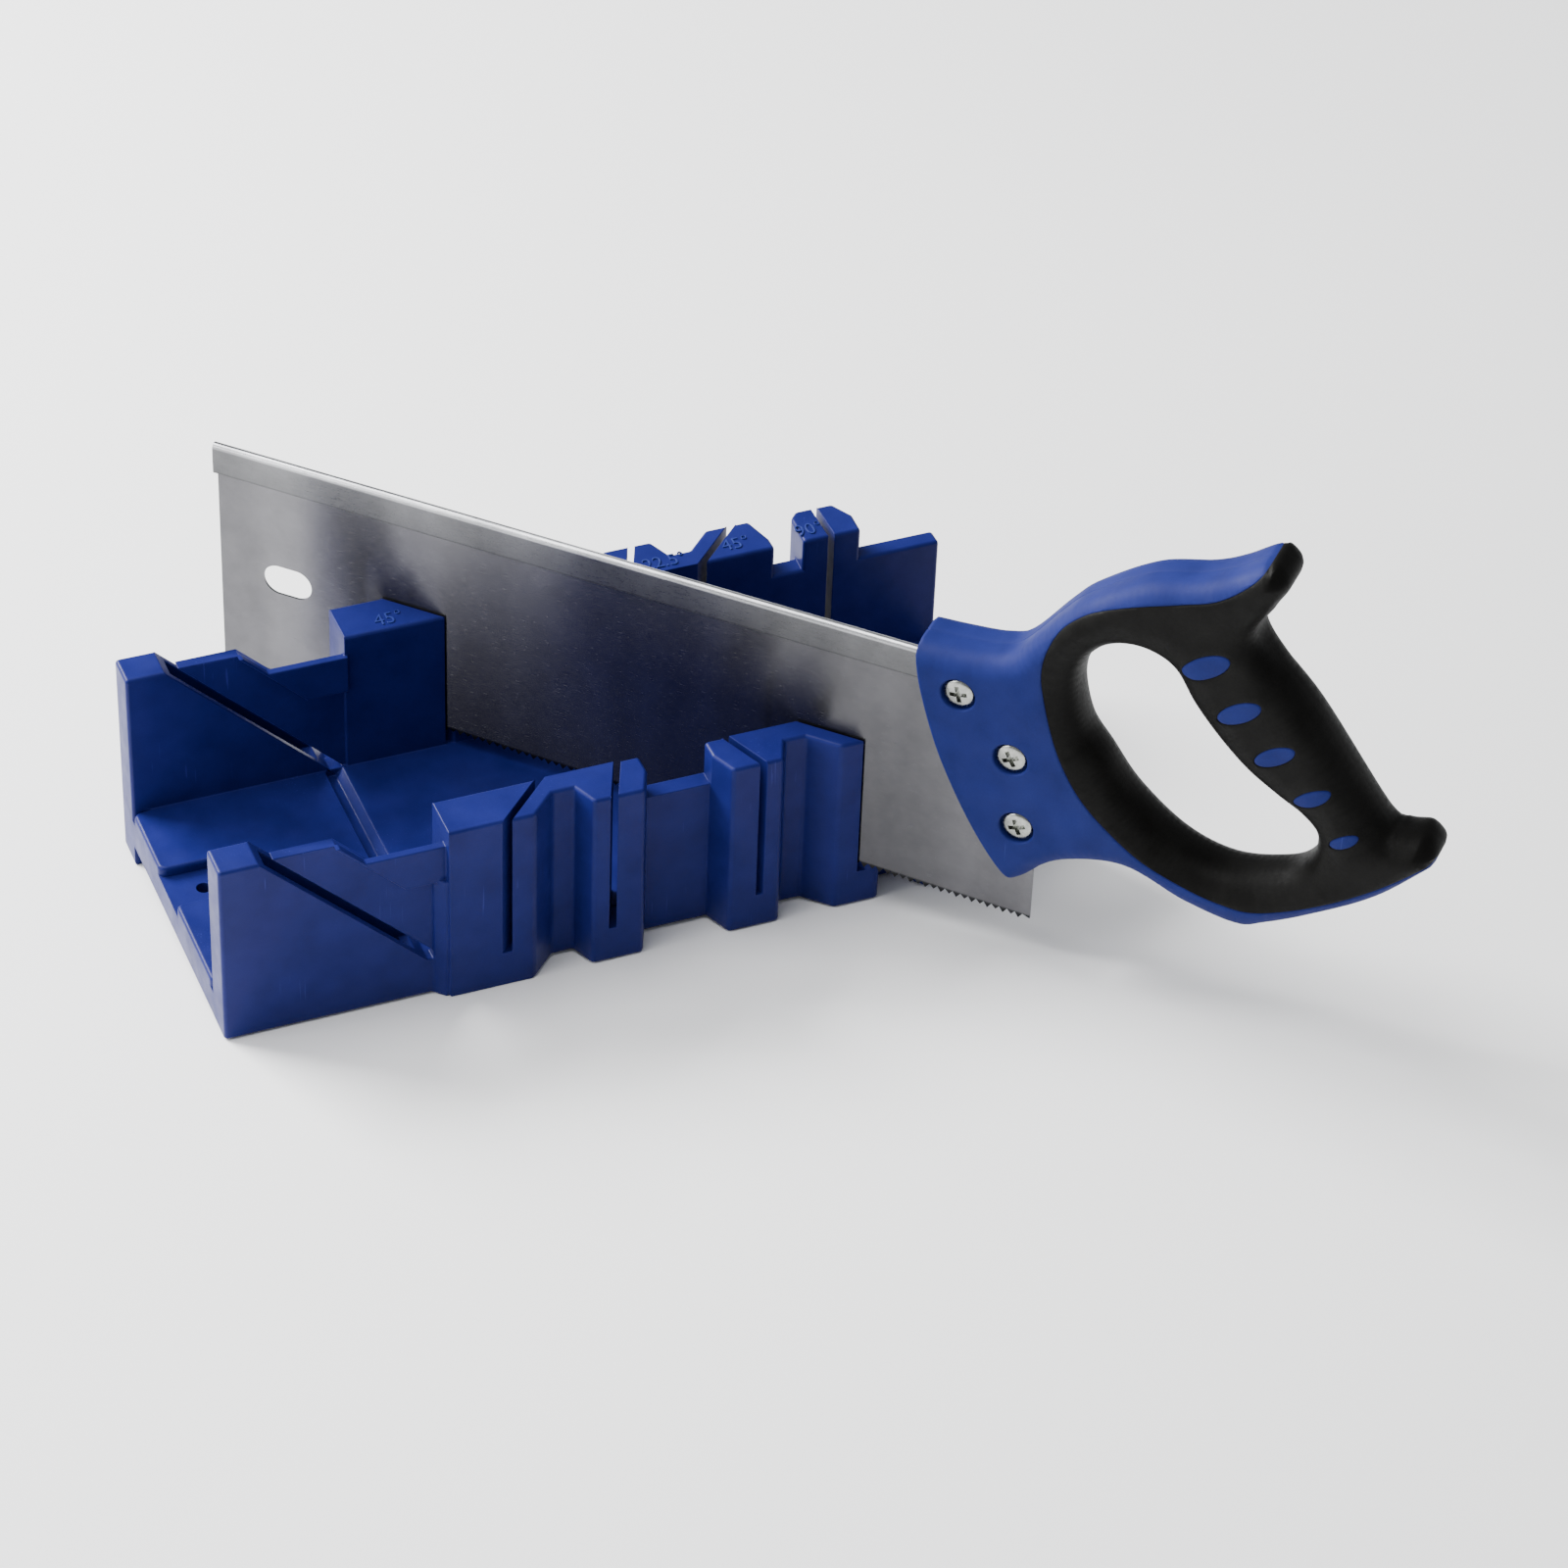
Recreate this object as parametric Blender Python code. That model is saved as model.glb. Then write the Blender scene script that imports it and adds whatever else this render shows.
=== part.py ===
"""Miter box with its back saw, resting in the box's left-leaning 45 degree slot.

Frame: metres, +Z up. The origin is the centre of the box's underside, +X runs along the box and
+Y from the worker's side to the fence with the bench hook. The saw slides along its slot.
"""

import math

import bmesh
import bpy
from mathutils import Matrix, Vector
from mathutils.geometry import intersect_point_line

# --- Box: overall sizes -----------------------------------------------------------------------
LENGTH = 0.305
WIDTH = 0.131
WALL = 0.018
BLOCK_TOP = 0.073
POST_TOP = 0.074
LOW_TOP = 0.060
FLOOR = 0.0155
HOOK_DROP = 0.0085
SKIN = 0.003

# --- Box: slots that guide the blade upright -----------------------------------------------------
CROSSING = 0.1652  # distance from the left end to the point where the angled slots cross
SQUARE_SLOT = 0.2624
SLOT_WIDTH = 0.0024
SLOT_FLOOR = 0.0145
ANGLES = {"left_45": -45.0, "left_22": -22.5, "right_22": 22.5, "right_45": 45.0}

# --- Box: left end with the tilted slot ----------------------------------------------------------
SET_BACK = 0.0043  # the left end's outer faces, behind the blocks' faces
POST_DEPTH = 0.0137
POST_FOOT = 0.0190  # the post is closed along the slot below this height
BEVEL_NEAR = 0.0880  # x + z on the tilted slot's lower side
BEVEL_FAR = 0.0930  # x + z on its upper side
SLOPE = 0.1160  # x + z along the step that falls from the thin wall to the panel
PANEL_EDGE = 0.1145  # x + z along the panel's left side
PANEL_TOP = 0.0652
PANEL_FOOT = 0.050
THIN_WALL = (0.0011, 0.0056)
PANEL_PROUD = 0.0014
PANEL_DEPTH = 0.0031
BLOCK_START = 0.079

# --- Box: plan of the blocks, as distances from the crossing ------------------------------------
RECESS = 0.0094
LOW_FACE = 0.0107
LOW_HALF = 0.0118
PILASTER_HALF = 0.0159
INNER_PILASTER = 0.0344
OUTER_PILASTER = 0.0554
END_PILASTER = 0.2372
END_BLOCK = (0.2516, 0.2742)

# --- Box: bench screws ---------------------------------------------------------------------------
SCREW_RECESS = 0.0115
SCREW_INSET = 0.013
SCREW_BORE = 0.0026
RECESS_LENGTH = 0.026
RECESS_SPAN = (0.061, 0.080)
PAD_CORNER = 0.003

# --- Box: pockets under the floor, as distances from the left end -------------------------------
FLOOR_SKIN = 0.004
POCKETS = (
    (0.030, 0.066), (0.083, 0.113), (0.117, 0.147), (0.158, 0.188), (0.192, 0.222),
    (0.226, 0.256), (0.260, 0.275),
)

# --- Saw, in its own frame: +X from the front wall's face towards the handle, +Z up --------------
TOE = -0.250
HEEL = 0.063
TANG_END = 0.072
BLADE_THICKNESS = 0.0008
TOOTH_PITCH = 0.0029
TOOTH_DEPTH = 0.0019
HEEL_TIP = 0.0152
TOOTH_LINE_RISE = 0.0267
SPINE_FOOT = 0.107
SPINE_TOP = 0.1192
SPINE_THICKNESS = 0.0034
SPINE_END = 0.027
SPINE_GAP = 0.0002
HANGING_HOLE = (-0.2235, 0.0668, 0.019, 0.0122)
HANDLE_HALF = 0.013
RIM = 0.008
FRONT_RIM = 0.0015
FRONT_LEAN = 0.438  # the front edge's run back for each step down
FRONT_BLEND = 0.014
DROPS = (0.0, 0.0004, 0.0015, 0.004, 0.008)  # stations down the rounded rim from the cheek
GRIP_SKIN = 0.003
CORE_HALF = 0.009
INNER_RIM = 0.002
INNER_DROPS = (0.0, 0.0006, 0.002)
GAP = 0.0003

# Handle outline: (along, up, corner), with the curve running smoothly through all but the corners.
HANDLE = [
    (0.0190, 0.1277, True), (0.0325, 0.1287, False), (0.0450, 0.1305, False),
    (0.0540, 0.1352, False), (0.0670, 0.1525, False), (0.0760, 0.1625, False),
    (0.0950, 0.1764, False), (0.1140, 0.1830, False), (0.1250, 0.1893, False),
    (0.1350, 0.1968, False), (0.1400, 0.1972, False), (0.1443, 0.1912, False),
    (0.1395, 0.1800, False), (0.1348, 0.1652, False), (0.1568, 0.1416, False),
    (0.1834, 0.1064, False), (0.1895, 0.1032, False), (0.1980, 0.1050, False),
    (0.2035, 0.1000, False), (0.2030, 0.0955, True), (0.1855, 0.0765, False),
    (0.1652, 0.0617, False), (0.1500, 0.0525, False), (0.1394, 0.0482, False),
    (0.1197, 0.0514, False), (0.0980, 0.0585, False), (0.0765, 0.0532, False),
    (0.0620, 0.0425, False), (0.0552, 0.0435, False), (0.0427, 0.0607, False),
    (0.0300, 0.0860, False), (0.0220, 0.1106, False),
]
HAND_HOLE = [
    (0.0752, 0.1252), (0.0772, 0.1373), (0.0837, 0.1456), (0.0918, 0.1493), (0.1000, 0.1494),
    (0.1078, 0.1455), (0.1151, 0.1344), (0.1251, 0.1228), (0.1360, 0.1129), (0.1478, 0.1055),
    (0.1562, 0.1009), (0.1617, 0.0950), (0.1620, 0.0866), (0.1584, 0.0791), (0.1505, 0.0731),
    (0.1326, 0.0679), (0.1151, 0.0719), (0.0979, 0.0846), (0.0869, 0.0984), (0.0790, 0.1092),
]
# The soft cover's edge on the cheek, from the top of the horn round to the tail.
COVER_EDGE = [
    (0.1365, 0.1965), (0.1300, 0.1880), (0.1210, 0.1808), (0.1100, 0.1762), (0.0980, 0.1716),
    (0.0880, 0.1668), (0.0780, 0.1605), (0.0700, 0.1520), (0.0659, 0.1425), (0.0645, 0.1330),
    (0.0657, 0.1235), (0.0695, 0.1085), (0.0746, 0.0961), (0.0820, 0.0845), (0.0923, 0.0747),
    (0.1050, 0.0660), (0.1202, 0.0604), (0.1340, 0.0580), (0.1472, 0.0591), (0.1680, 0.0695),
    (0.1882, 0.0845), (0.2010, 0.0960),
]
OVALS = [  # centre along, centre up, length, width
    (0.1205, 0.1543, 0.0195, 0.0082), (0.1335, 0.1398, 0.0173, 0.0073),
    (0.1470, 0.1263, 0.0160, 0.0066), (0.1610, 0.1133, 0.0148, 0.0058),
    (0.1735, 0.0994, 0.0114, 0.0047),
]
OVAL_TILT = math.radians(36)
SCREWS = {"upper": (0.0358, 0.1140), "middle": (0.0559, 0.0932), "lower": (0.0599, 0.0650)}
HEAD_RADIUS = 0.0054
HEAD_HEIGHT = 0.0022
SINK_RADIUS = 0.0062
SINK_DEPTH = 0.0026
SHANK_RADIUS = 0.0020
SLEEVE_RADIUS = 0.0034
SLEEVE_BORE = 0.0023
ROUND_SIDES = 32

LEFT = -LENGTH / 2
FRONT = -WIDTH / 2


# --- Modelling helpers ---------------------------------------------------------------------------
def clear_scene():
    for old in list(bpy.data.objects):
        bpy.data.objects.remove(old, do_unlink=True)


def material(name, colour, roughness, metallic=0.0):
    made = bpy.data.materials.new(name)
    made.use_nodes = True
    shader = made.node_tree.nodes["Principled BSDF"]
    shader.inputs["Base Color"].default_value = (*colour, 1.0)
    shader.inputs["Roughness"].default_value = roughness
    shader.inputs["Metallic"].default_value = metallic
    return made


def new_object(name, shape):
    bmesh.ops.remove_doubles(shape, verts=shape.verts, dist=1e-6)
    bmesh.ops.recalc_face_normals(shape, faces=shape.faces)
    mesh = bpy.data.meshes.new(name)
    shape.to_mesh(mesh)
    shape.free()
    made = bpy.data.objects.new(name, mesh)
    bpy.context.collection.objects.link(made)
    return made


def prism(name, outline, low, high, along="Z"):
    """A closed prism: an outline in (x, y) raised along Z, or in (x, z) pushed along Y."""
    shape = bmesh.new()
    place = {"Z": lambda u, v, w: (u, v, w), "Y": lambda u, v, w: (u, w, v)}[along]
    rim = [shape.verts.new(place(u, v, low)) for u, v in outline]
    end = [shape.verts.new(place(u, v, high)) for u, v in outline]
    shape.faces.new(rim)
    shape.faces.new(end)
    for i, vert in enumerate(rim):
        j = (i + 1) % len(rim)
        shape.faces.new((vert, rim[j], end[j], end[i]))
    return new_object(name, shape)


def box(name, x, y, z):
    return prism(name, [(x[0], y[0]), (x[1], y[0]), (x[1], y[1]), (x[0], y[1])], *z)


def rod(name, centre, radius, low, high):
    """A round bar along Y about the centre (x, z)."""
    return prism(name, circle(centre, radius, radius, 0.0), low, high, "Y")


def circle(centre, half_length, half_width, tilt):
    points = []
    for i in range(ROUND_SIDES):
        turn = 2 * math.pi * i / ROUND_SIDES
        offset = Vector((half_length * math.cos(turn), half_width * math.sin(turn)))
        offset.rotate(Matrix.Rotation(tilt, 2))
        points.append((centre[0] + offset.x, centre[1] + offset.y))
    return points


def combine(target, tool, operation):
    """Joins the tool to the target, or cuts it out, and removes the tool."""
    tool.hide_render = True
    tool.display_type = "WIRE"
    change = target.modifiers.new(operation.lower(), "BOOLEAN")
    change.operation = operation
    change.solver = "EXACT"
    change.object = tool
    graph = bpy.context.evaluated_depsgraph_get()
    result = bpy.data.meshes.new_from_object(target.evaluated_get(graph))
    target.modifiers.remove(change)
    target.data = result
    bpy.data.objects.remove(tool, do_unlink=True)


def join_all(target, tools):
    for tool in tools:
        combine(target, tool, "UNION")


def cut_all(target, tools):
    for tool in tools:
        combine(target, tool, "DIFFERENCE")


def shade(part, finish, angle=35):
    part.data.materials.clear()
    part.data.materials.append(finish)
    part.data.shade_smooth()
    part.data.set_sharp_from_angle(angle=math.radians(angle))


def inset(outline, distance):
    """The outline moved inwards, by one distance or by one for each edge that leaves a point."""
    count = len(outline)
    each = [distance] * count if isinstance(distance, float) else distance
    area = 0.0
    for i, (x, y) in enumerate(outline):
        after = outline[(i + 1) % count]
        area += x * after[1] - after[0] * y
    turn = 1.0 if area > 0 else -1.0
    moved = []
    for i in range(count):
        here = Vector(outline[i])
        before = (here - Vector(outline[i - 1])).normalized()
        after = (Vector(outline[(i + 1) % count]) - here).normalized()
        first = Vector((-before.y, before.x)) * turn
        second = Vector((-after.y, after.x)) * turn
        bend = first.x * second.y - first.y * second.x
        if abs(bend) > 0.1:
            shift = Vector((each[i - 1] * second.y - each[i] * first.y,
                            each[i] * first.x - each[i - 1] * second.x)) / bend
        else:
            shift = (first + second) / 2 * (each[i - 1] + each[i]) / 2
        moved.append(tuple(here + shift))
    return gathered(outline, moved, each)


def gathered(outline, moved, each):
    """Points that cross over in a tight bend gather on the nearest one that stays clear."""
    count = len(outline)
    clear = []
    for point in moved:
        clear.append(True)
        for i in range(count):
            start, end = Vector(outline[i]), Vector(outline[(i + 1) % count])
            share = intersect_point_line(point, start, end)[1]
            near = start.lerp(end, min(max(share, 0.0), 1.0))
            if (Vector(point) - near).length < 0.95 * abs(each[i]) - 1e-6:
                clear[-1] = False
    result = []
    for i in range(count):
        step = 0
        while not (clear[(i + step) % count] or clear[i - step]):
            step += 1
        result.append(moved[(i + step) % count] if clear[(i + step) % count] else moved[i - step])
    return result


def smooth_loop(points, steps):
    """A closed curve through points of (u, v) or (u, v, corner), round everywhere but the corners."""
    count = len(points)
    places = [Vector(point[:2]) for point in points]
    corner = [len(point) > 2 and point[2] for point in points]
    loop = []
    for i in range(count):
        j = (i + 1) % count
        start, end = places[i], places[j]
        leave = end - start if corner[i] else (end - places[i - 1]) / 2
        arrive = end - start if corner[j] else (places[(j + 1) % count] - start) / 2
        for step in range(steps):
            t = step / steps
            point = start * (2 * t**3 - 3 * t**2 + 1) + leave * (t**3 - 2 * t**2 + t)
            point += end * (3 * t**2 - 2 * t**3) + arrive * (t**3 - t**2)
            loop.append(tuple(point))
    return loop


def drawn_in(radius, drop):
    """How far a rounded rim stands in from its outline, at a drop below the plate's face."""
    return radius - math.sqrt(radius**2 - (radius - drop) ** 2) if drop < radius else 0.0


def rims(outline, radii, half, drops, sign):
    """Rings of points (u, height, v) round an outline, from one face's edge to the other's."""
    rings = []
    for drop in drops:
        ring = inset(outline, [sign * drawn_in(radius, drop) for radius in radii])
        rings.append([(u, half - drop, v) for u, v in ring])
    return rings + [[(u, -across, v) for u, across, v in ring] for ring in reversed(rings)]


def bridge(shape, rings):
    """Faces between each ring of points and the next."""
    made = [[shape.verts.new(point) for point in ring] for ring in rings]
    for low, high in zip(made, made[1:]):
        for i in range(len(low)):
            j = (i + 1) % len(low)
            shape.faces.new((low[i], low[j], high[j], high[i]))
    return made


def plate(name, outline, radii, hole, hole_radius, half, drops):
    """A plate across Y with a hole, both outlines rounded towards the plate's faces."""
    shape = bmesh.new()
    made = bridge(shape, rims(outline, radii, half, drops, 1))
    shape.faces.new(made[0])
    shape.faces.new(made[-1])
    body = new_object(name, shape)
    around = [hole_radius] * len(hole)
    margin = 0.001
    combine(body, prism("hole", inset(hole, -hole_radius), -2 * half, 2 * half, "Y"), "DIFFERENCE")
    shape = bmesh.new()
    inner = rims(hole, around, half, drops, -1)
    beyond = inset(hole, -hole_radius - margin)
    outer = [[(u, across, v) for u, v in beyond] for across in (-half, half)]
    bridge(shape, inner + outer + inner[:1])
    combine(body, new_object("ring", shape), "UNION")
    return body


# --- The box ---------------------------------------------------------------------------------------
def slot_at(angle, depth):
    """Where a slot's centre line stands along the box, at a depth in from the outer face."""
    return CROSSING + math.tan(math.radians(angle)) * (WIDTH / 2 - depth)


def slot_edge(angle, depth, side):
    return slot_at(angle, depth) + side * SLOT_WIDTH / 2 / math.cos(math.radians(angle))


def in_plan(points, mirrored):
    """Plan points (along from the left end, depth from the outer face) to world x and y."""
    sign = -1 if mirrored else 1
    return [(LEFT + along, sign * (FRONT + depth)) for along, depth in points]


def wall_outline():
    """Plan of one wall right of the left end: blocks, recesses and low stretches."""
    side = math.tan(math.radians(22.5))
    outer = [(BLOCK_START, 0), (CROSSING - OUTER_PILASTER, 0)]
    outer.append((CROSSING - OUTER_PILASTER + RECESS, RECESS))
    outer.append((CROSSING - INNER_PILASTER - side * RECESS, RECESS))
    outer.append((CROSSING - INNER_PILASTER, 0))
    outer.append((CROSSING - PILASTER_HALF, 0))
    outer.append((CROSSING - PILASTER_HALF + side * LOW_FACE, LOW_FACE))
    mirrored = [(2 * CROSSING - along, depth) for along, depth in reversed(outer[1:])]
    tail = [(END_PILASTER, 0), (END_PILASTER + 0.0034, 0.0120), (END_PILASTER + 0.0034, WALL)]
    return outer + mirrored + tail + [(BLOCK_START, WALL)]


def end_block_outline():
    start, end = END_BLOCK
    return [
        (start + 0.0036, 0), (end - 0.0046, 0), (end, 0.0085), (end - 0.0004, WALL),
        (start, WALL), (start + 0.0006, 0.0035),
    ]


def full_slot(mirrored, angle):
    """The cutter for one slot through one wall."""
    over = 0.001
    corners = []
    for depth, side in ((-over, -1), (-over, 1), (WALL + over, 1), (WALL + over, -1)):
        corners.append((slot_edge(angle, depth, side), depth))
    return prism("slot", in_plan(corners, mirrored), SLOT_FLOOR, POST_TOP + over)


def corner_web():
    """The slanted web where the set-back left end meets the first block's face."""
    edge = [(BLOCK_START - SET_BACK, SET_BACK), (BLOCK_START - 0.001, 0.001)]
    edge += [(BLOCK_START + 0.0005, 0.001), (BLOCK_START + 0.0005, 0.009)]
    edge.append((BLOCK_START - SET_BACK, 0.009))
    return prism("web", in_plan(edge, False), 0.0, PANEL_FOOT + 0.001)


def right_wall(mirrored):
    """One wall from the first block to the right end, standing on its foot."""
    foot = -HOOK_DROP if mirrored else 0.0
    wall = prism("wall", in_plan(wall_outline(), mirrored), foot, BLOCK_TOP)
    tie = 0.001
    rail = [(END_PILASTER - tie, LOW_FACE), (LENGTH, LOW_FACE), (LENGTH, WALL)]
    rail.append((END_PILASTER - tie, WALL))
    end_block = prism("end", in_plan(end_block_outline(), mirrored), foot, BLOCK_TOP)
    join_all(wall, [prism("rail", in_plan(rail, mirrored), foot, LOW_TOP), end_block])
    over = 0.001
    low = CROSSING - LOW_HALF, CROSSING + LOW_HALF
    gap = [(low[0], -over), (low[1], -over), (low[1], WALL + over), (low[0], WALL + over)]
    cut_all(wall, [prism("gap", in_plan(gap, mirrored), LOW_TOP, POST_TOP)])
    cut_all(wall, [full_slot(mirrored, angle) for angle in ANGLES.values()])
    half = SLOT_WIDTH / 2
    square = [(SQUARE_SLOT - half, -over), (SQUARE_SLOT + half, -over)]
    square += [(SQUARE_SLOT + half, WALL + over), (SQUARE_SLOT - half, WALL + over)]
    cut_all(wall, [prism("square", in_plan(square, mirrored), SLOT_FLOOR, POST_TOP)])
    return wall


def hollows(mirrored):
    """Cutters that hollow the two wide blocks of one wall from below."""
    foot = -HOOK_DROP if mirrored else 0.0
    first = [(BLOCK_START, 0), (slot_edge(-45, 0, -1), 0)]
    first += [(slot_edge(-45, WALL, -1), WALL), (BLOCK_START, WALL)]
    start = 0.005
    last = [(slot_edge(45, start, 1), start), (END_PILASTER + 0.001, start)]
    last += [(END_PILASTER + 0.003, WALL), (slot_edge(45, WALL, 1), WALL)]
    cutters = []
    for outline in (first, last):
        hollow = inset(in_plan(outline, mirrored), SKIN)
        cutters.append(prism("hollow", hollow, foot - 0.001, BLOCK_TOP - SKIN))
    return cutters


def left_end(near, foot):
    """Post, tilted slot, thin wall and raised panel, built back from the near face.

    The post is a shell, open along the slot down to its foot.
    """
    end = BLOCK_START + 0.001
    tie = 0.0005
    thick = [(0, foot), (0, POST_TOP), (BEVEL_NEAR - POST_TOP, POST_TOP)]
    thick += [(BEVEL_NEAR - FLOOR + 0.001, FLOOR - 0.001), (end, FLOOR - 0.001), (end, foot)]
    edge = PANEL_EDGE + tie
    thin = [(BEVEL_FAR - POST_TOP, POST_TOP), (edge - POST_TOP, POST_TOP)]
    thin += [(edge - PANEL_FOOT - tie, PANEL_FOOT + tie), (end, PANEL_FOOT + tie)]
    thin += [(end, FLOOR - 0.002), (BEVEL_FAR - FLOOR + 0.002, FLOOR - 0.002)]
    panel = [(PANEL_EDGE - POST_TOP, POST_TOP), (SLOPE - POST_TOP, POST_TOP)]
    panel += [(SLOPE - PANEL_TOP, PANEL_TOP), (end, PANEL_TOP), (end, PANEL_FOOT)]
    panel.append((PANEL_EDGE - PANEL_FOOT, PANEL_FOOT))

    def across(name, outline, low, high):
        placed = [(LEFT + along, up) for along, up in outline]
        return prism(name, placed, near + low, near + high, "Y")

    wall = across("thick", thick, 0.0, POST_DEPTH)
    panel_span = -PANEL_PROUD, PANEL_DEPTH - PANEL_PROUD
    join_all(wall, [across("thin", thin, *THIN_WALL), across("panel", panel, *panel_span)])
    reach = BEVEL_NEAR - SKIN * math.sqrt(2)
    open_to = BEVEL_NEAR + 0.001
    hollow = [(SKIN, foot - 0.001), (SKIN, POST_TOP - SKIN)]
    hollow += [(open_to - POST_TOP + SKIN, POST_TOP - SKIN), (open_to - POST_FOOT, POST_FOOT)]
    hollow += [(reach - POST_FOOT, POST_FOOT), (reach - FLOOR, FLOOR)]
    hollow.append((reach - FLOOR, foot - 0.001))
    return wall, across("hollow", hollow, SKIN, POST_DEPTH - SKIN)


def floor_cutters():
    """The tilted slot's kerf across the floor, the screw recesses and bores, and the pockets below."""
    inner = FRONT + WALL
    over = 0.001
    low = FLOOR - 0.003
    left = LEFT + BEVEL_NEAR - FLOOR - 0.0018
    right = LEFT + BEVEL_FAR - FLOOR
    kerf = [(left, FLOOR + over), (left, low), (right - 0.003, low), (right + over, FLOOR + over)]
    cutters = [prism("kerf", kerf, inner - over, -inner, "Y")]
    for end, sign in ((LEFT, 1), (-LEFT, -1)):
        for outline in end_recesses():
            placed = [(end + sign * along, FRONT + depth) for along, depth in outline]
            cutters.append(prism("recess", placed, SCREW_RECESS, FLOOR + over))
        middle = end + sign * SCREW_INSET, FRONT + sum(RECESS_SPAN) / 2
        bore = circle(middle, SCREW_BORE, SCREW_BORE, 0.0)
        cutters.append(prism("bore", bore, -over, FLOOR))
    return cutters


def end_recesses():
    """Plans, from one end, of the screw recess and of the gaps that the pads' round corners leave."""
    over = 0.001
    quarter = [math.pi / 2 * i / 5 for i in range(6)]
    bend = [(PAD_CORNER * (1 - math.cos(t)), PAD_CORNER * (1 - math.sin(t))) for t in quarter]
    near, far = RECESS_SPAN
    recess = [(-over, near - PAD_CORNER)] + [(along, near - gap) for along, gap in bend]
    recess += [(RECESS_LENGTH, near), (RECESS_LENGTH, far)]
    recess += [(along, far + gap) for along, gap in reversed(bend)] + [(-over, far + PAD_CORNER)]
    outlines = [recess]
    for wall, side in ((WALL, 1), (WIDTH - WALL, -1)):
        gap = [(along, wall + side * rise) for along, rise in bend]
        outlines.append([(-over, wall + side * PAD_CORNER), *gap, (-over, wall)])
    return outlines


def floor_pockets():
    """Pockets under the floor, between ribs, clear of the bench screws, the kerf and the centre."""
    rows = [(FRONT + WALL + SKIN, -0.006), (0.006, -FRONT - WALL - SKIN)]
    cutters = []
    for start, end in POCKETS:
        for row in rows:
            x = LEFT + start, LEFT + end
            cutters.append(box("pocket", x, row, (-0.001, FLOOR - FLOOR_SKIN)))
    return cutters


def build_box(finish):
    base = box("miter_box", (LEFT, -LEFT), (FRONT + LOW_FACE, -FRONT - LOW_FACE), (0.0, FLOOR))
    deep = LEFT + BLOCK_START + 0.0005
    join_all(base, [box("deep", (LEFT, deep), (FRONT + SET_BACK, FRONT + WALL), (0.0, FLOOR))])
    hollow_cutters = []
    for mirrored in (False, True):
        join_all(base, [right_wall(mirrored)])
        hollow_cutters += hollows(mirrored)
    for near, foot in ((FRONT + SET_BACK, 0.0), (-FRONT - WALL, -HOOK_DROP)):
        wall, cutter = left_end(near, foot)
        join_all(base, [wall])
        hollow_cutters.append(cutter)
    join_all(base, [corner_web()])
    cut_all(base, floor_cutters() + floor_pockets() + hollow_cutters)
    shade(base, finish, angle=30)
    return base


# --- The saw ---------------------------------------------------------------------------------------
def tooth_line(along):
    return HEEL_TIP + TOOTH_LINE_RISE * (HEEL - along)


def build_blade(finish):
    """Tapered plate with a saw-tooth lower edge, a hanging hole, a tang and three screw holes."""
    count = int((HEEL - TOE) / TOOTH_PITCH)
    outline = [(TOE, SPINE_TOP - 0.0012), (TOE, tooth_line(TOE) + TOOTH_DEPTH)]
    for i in range(count):
        tip = TOE + (i + 0.5) * TOOTH_PITCH
        root = TOE + (i + 1.0) * TOOTH_PITCH
        outline.append((tip, tooth_line(tip)))
        outline.append((root, tooth_line(root) + TOOTH_DEPTH))
    outline += [(HEEL, tooth_line(HEEL) + TOOTH_DEPTH / 2), (HEEL, 0.052), (TANG_END, 0.060)]
    outline.append((TANG_END, SPINE_TOP - 0.0012))
    half = BLADE_THICKNESS / 2
    blade = prism("saw_blade", outline, -half, half, "Y")
    along, up, length, width = HANGING_HOLE
    straight = (length - width) / 2
    slot = []
    for i in range(ROUND_SIDES):
        turn = 2 * math.pi * (i + 0.5) / ROUND_SIDES
        side = math.copysign(straight, math.cos(turn))
        slot.append((along + side + width / 2 * math.cos(turn), up + width / 2 * math.sin(turn)))
    holes = [prism("hanging", slot, -0.002, 0.002, "Y")]
    holes += [rod("hole", place, SLEEVE_BORE + GAP, -0.002, 0.002) for place in SCREWS.values()]
    cut_all(blade, holes)
    shade(blade, finish)
    return blade


def build_spine(finish):
    """Steel strip folded over the blade's back, rounded along its fold."""
    half = SPINE_THICKNESS / 2
    slit = BLADE_THICKNESS / 2 + SPINE_GAP
    top = SPINE_TOP - half
    section = [(-half, SPINE_FOOT), (-half, top)]
    for i in range(1, 8):
        turn = math.pi - math.pi * i / 8
        section.append((half * math.cos(turn), top + half * math.sin(turn)))
    section += [(half, top), (half, SPINE_FOOT), (slit, SPINE_FOOT)]
    section += [(slit, SPINE_TOP - 0.0010), (-slit, SPINE_TOP - 0.0010), (-slit, SPINE_FOOT)]
    shape = bmesh.new()
    ends = []
    for along in (TOE - 0.0012, SPINE_END):
        ends.append([shape.verts.new((along, across, up)) for across, up in section])
        shape.faces.new(ends[-1])
    for i in range(len(section)):
        j = (i + 1) % len(section)
        shape.faces.new((ends[0][i], ends[0][j], ends[1][j], ends[1][i]))
    spine = new_object("blade_spine", shape)
    shade(spine, finish)
    return spine


def rim_radius(along, up):
    """The rim's radius: small down the cheek's front edge, growing to full round the rest."""
    behind = along - HANDLE[0][0] - (HANDLE[0][1] - up) * FRONT_LEAN
    share = 1.0 if up > HANDLE[0][1] - 0.0005 else min(max(behind / FRONT_BLEND, 0.0), 1.0)
    return FRONT_RIM + (RIM - FRONT_RIM) * share


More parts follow.
